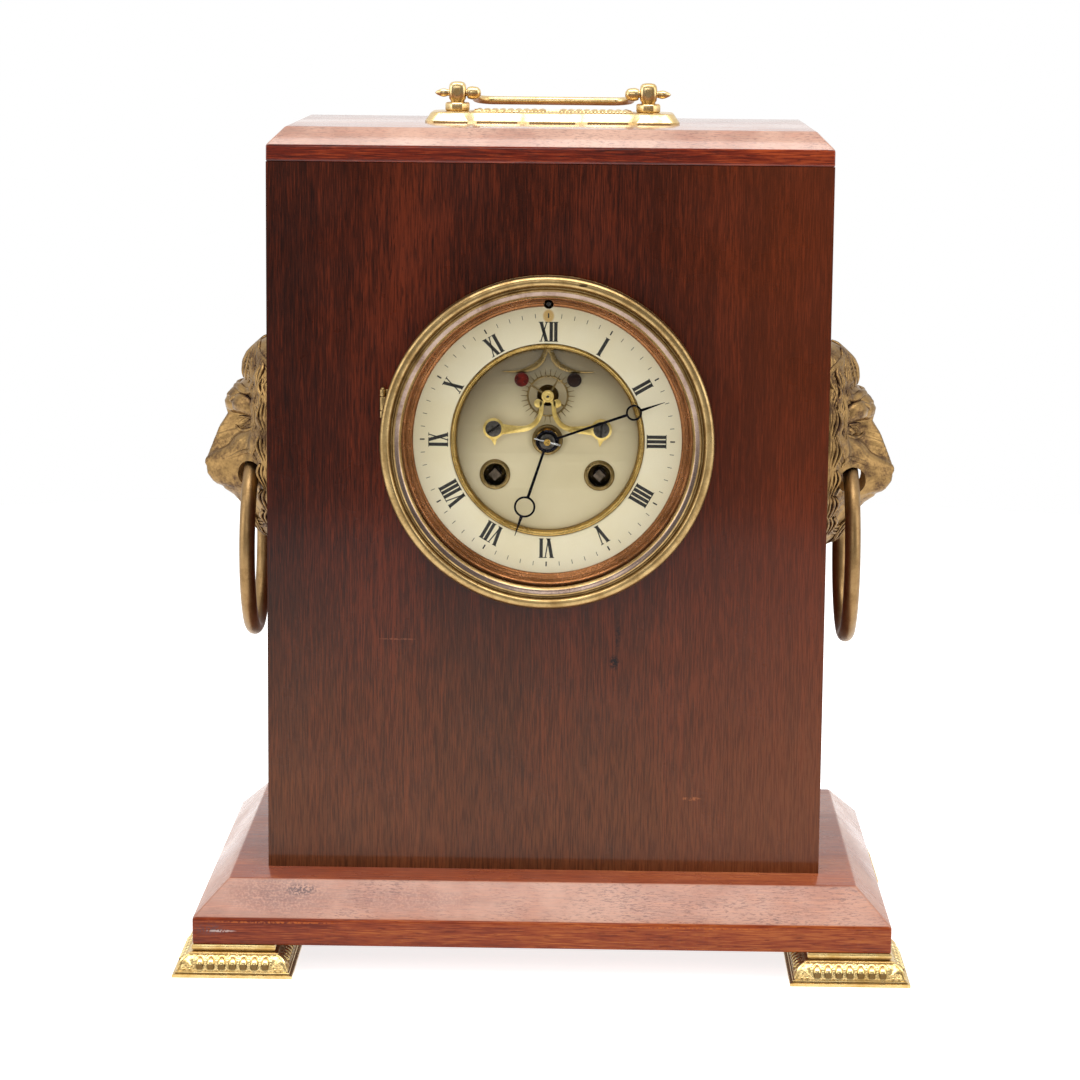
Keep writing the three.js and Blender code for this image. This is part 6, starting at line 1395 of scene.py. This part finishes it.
# ------------------------------------------------------------------ back opening
def build_rear():
    ring = fillet([(52, 75.0, 0.1), (52, 77.6, 0.5), (53, 78.0, 0.4), (58.8, 78.0, 0.3), (60.4, 77.4, 0.8),
                   (61, 75.9, 0.4), (61, 75.0, 0.1), (56.0, 75.0, 0.0), (56.0, 66.0, 0.1), (53.2, 66.0, 0.1),
                   (53.2, 75.0, 0.0)], 0.2, 3)
    made = piece("rear_ring_turned", lathe(ring, (0, DIAL_Z), 128), "case", BRASS_BEZEL,
                 ["rear_ring"], sharp=40)
    room = rod(HINGE_ROOM, 233.5, 239.9, REAR_HINGE, 28, "Z")
    carve(made, room, 40)
    piece("rear_ring_knuckles", merge(*knuckles(REAR_HINGE, DIAL_Z, False),
          rounded_box(54.0, 59.7, 76.8, 78.0, 230.5, 233.3, 0.1),
          rounded_box(54.0, 59.7, 76.8, 78.0, 240.1, 242.9, 0.1)), "case", BRASS_BEZEL)
    door = fillet([(0, 78.35), (57.7, 78.35, 0.1), (58, 78.7, 0.2), (58, 80.0, 0.2), (56.4, 80.8, 0.5), (55, 80.5, 0.4),
                   (52, 80.05, 0.4), (51.2, 80.35, 0.2), (50.4, 80.05, 0.2), (25, 80.25, 0.3), (0, 80.6)], 0.2, 3)
    made = piece("rear_door_spun", lathe(door, (0, DIAL_Z), 128), "back_door", BRASS_BEZEL,
                 ["rear_door"], sharp=40)
    rooms = [rod(HINGE_ROOM, low, high, REAR_HINGE, 28, "Z")
             for low, high in ((230.2, 233.6), (239.8, 243.2))]
    carve(made, merge(*rooms), 40)
    knob = fillet([(0, 79.4), (1.6, 79.4), (1.5, 81.6, 0.3), (1.7, 82.6, 0.4), (3.3, 84.2, 0.6), (3.4, 85.4, 0.6),
                   (2.6, 86.6, 0.5), (1.0, 87.2, 0.4), (0, 87.3)], 0.2, 4)
    piece("rear_door_fittings", merge(lathe(knob, (-48, DIAL_Z), 40), *knuckles(REAR_HINGE, DIAL_Z, True),
          rounded_box(54.5, 59.7, 78.3, 79.5, 233.8, 239.6, 0.1)), "back_door", BRASS_BEZEL)


# ------------------------------------------------------------------ movement
WORKS = {
    "front_plate": BRASS_PLATE, "back_plate": BRASS_WORKS, "going_barrel": BRASS_WORKS,
    "strike_barrel": BRASS_WORKS, "second_wheel": BRASS_WORKS, "centre_wheel": BRASS_WORKS,
    "third_wheel": BRASS_WORKS, "strike_pin_wheel": BRASS_WORKS, "minute_wheel": BRASS_WORKS,
    "suspension_cock": BRASS_WORKS, "pendulum_bob": BRASS_HANDLE, "going_mainspring": STEEL,
    "strike_mainspring": STEEL, "going_winding_arbor": ARBOR, "strike_winding_arbor": ARBOR,
    "regulator_arbor": SCREW, "pendulum_rod": STEEL, "bell": BELL_METAL, "bell_stand": SCREW,
    "strike_hammer": SCREW,
}


SOFT_EDGES = {"front_plate": 0.08, "back_plate": 0.08, "going_winding_arbor": 0.7, "strike_winding_arbor": 0.7}


def build_works():
    for node, material in WORKS.items():
        dress(node, material, SOFT_EDGES.get(node), segments=1 if "arbor" in node else 2)


# ------------------------------------------------------------------ room, light and camera
def build_room():
    """White floor and surroundings; mirror-like faces see a darker room behind the camera."""
    white = (1, 1, 1, 1)
    edge = circle(0, 0, 1300, 96)
    mesh = mesh_of("floor", ([(x, y, 0.0) for x, y in edge], [list(range(len(edge)))]))
    floor = placed("floor", mesh)
    tree = Tree(bpy.data.materials.new("floor_white"))
    path = tree.add("LightPath")
    seen = tree.math("MAXIMUM", path["Is Camera Ray"], path["Is Glossy Ray"])
    seen = tree.math("MAXIMUM", seen, path["Is Transmission Ray"])
    matt = tree.add("BsdfDiffuse", {0: (0.82, 0.82, 0.82, 1)})[0]
    lit = tree.add("AddShader", {0: matt, 1: tree.add("Emission", {0: white, 1: 0.8})[0]})[0]
    tree.add("OutputMaterial", {0: tree.add("MixShader", {0: seen, 1: matt, 2: lit})[0]})
    mesh.materials.append(tree.block)

    world = bpy.data.worlds.new("studio")
    bpy.context.scene.world = world
    tree = Tree(world)
    path = tree.add("LightPath")
    backward = tree.add("SeparateXYZ", {0: tree.add("TexCoord")["Generated"]})["Y"]
    mirrored_room = tree.add("MapRange", {0: backward, 1: -0.75, 2: -0.15, 3: 0.26, 4: 1.0})[0]
    clear = tree.math("MAXIMUM", path["Is Glossy Ray"], path["Is Transmission Ray"])
    level = tree.add("Mix", {0: clear, 2: 0.5, 3: mirrored_room})[0]
    level = tree.add("Mix", {0: path["Is Camera Ray"], 2: level, 3: 1.0})[0]
    tree.add("OutputWorld", {0: tree.add("Background", {"Color": white, "Strength": level})[0]})


def softbox(name, place, target, wide, tall, power):
    lamp = bpy.data.lights.new(name, "AREA")
    lamp.shape = "RECTANGLE"
    lamp.size, lamp.size_y = wide, tall
    lamp.energy = power
    made = placed(name, lamp)
    made.location = place
    made.rotation_euler = (Vector(target) - Vector(place)).to_track_quat("-Z", "Y").to_euler()


def build_light():
    """Large soft lamps above, at both sides and in front, as in a product studio."""
    softbox("lamp_top", (0.0, -0.34, 1.75), (0, -0.1, 0.2), 1.9, 0.62, 20)
    softbox("lamp_left", (-1.5, -0.55, 0.75), (0, 0, 0.2), 0.9, 1.3, 7)
    softbox("lamp_right", (1.5, -0.45, 0.75), (0, 0, 0.2), 0.9, 1.3, 7)
    softbox("lamp_front", (-0.35, -2.3, 1.3), (0, 0, 0.2), 1.3, 0.7, 7)


PHOTO_TURNS = (-0.926, 9.528, 0.550)
PHOTO_PLACE = (0.0208, -1.5327, 0.4374)
PHOTO_LENS = 110.56


def build_camera():
    """The camera fitted to the corners of the case and the circles of the bezel in the photograph."""
    yaw, pitch, roll = (math.radians(angle) for angle in PHOTO_TURNS)
    forward = Vector((math.sin(yaw) * math.cos(pitch), math.cos(yaw) * math.cos(pitch), -math.sin(pitch)))
    right = Vector((math.cos(yaw), -math.sin(yaw), 0))
    up = right.cross(forward)
    across = math.cos(roll) * right + math.sin(roll) * up
    upward = -math.sin(roll) * right + math.cos(roll) * up
    lens = bpy.data.cameras.new("photo_camera")
    lens.sensor_fit = "HORIZONTAL"
    lens.sensor_width = 36
    lens.lens = PHOTO_LENS
    camera = placed("photo_camera", lens)
    pose = Matrix((across, upward, -forward)).transposed().to_4x4()
    pose.translation = PHOTO_PLACE
    camera.matrix_world = pose
    bpy.context.scene.camera = camera


build_camera()
build_room()
build_light()
build_case()
build_feet()
build_handle()
build_bezel()
build_dial()
build_hands()
build_escapement()
build_masks()
build_rear()
build_works()
bpy.context.scene.view_settings.view_transform = "Standard"
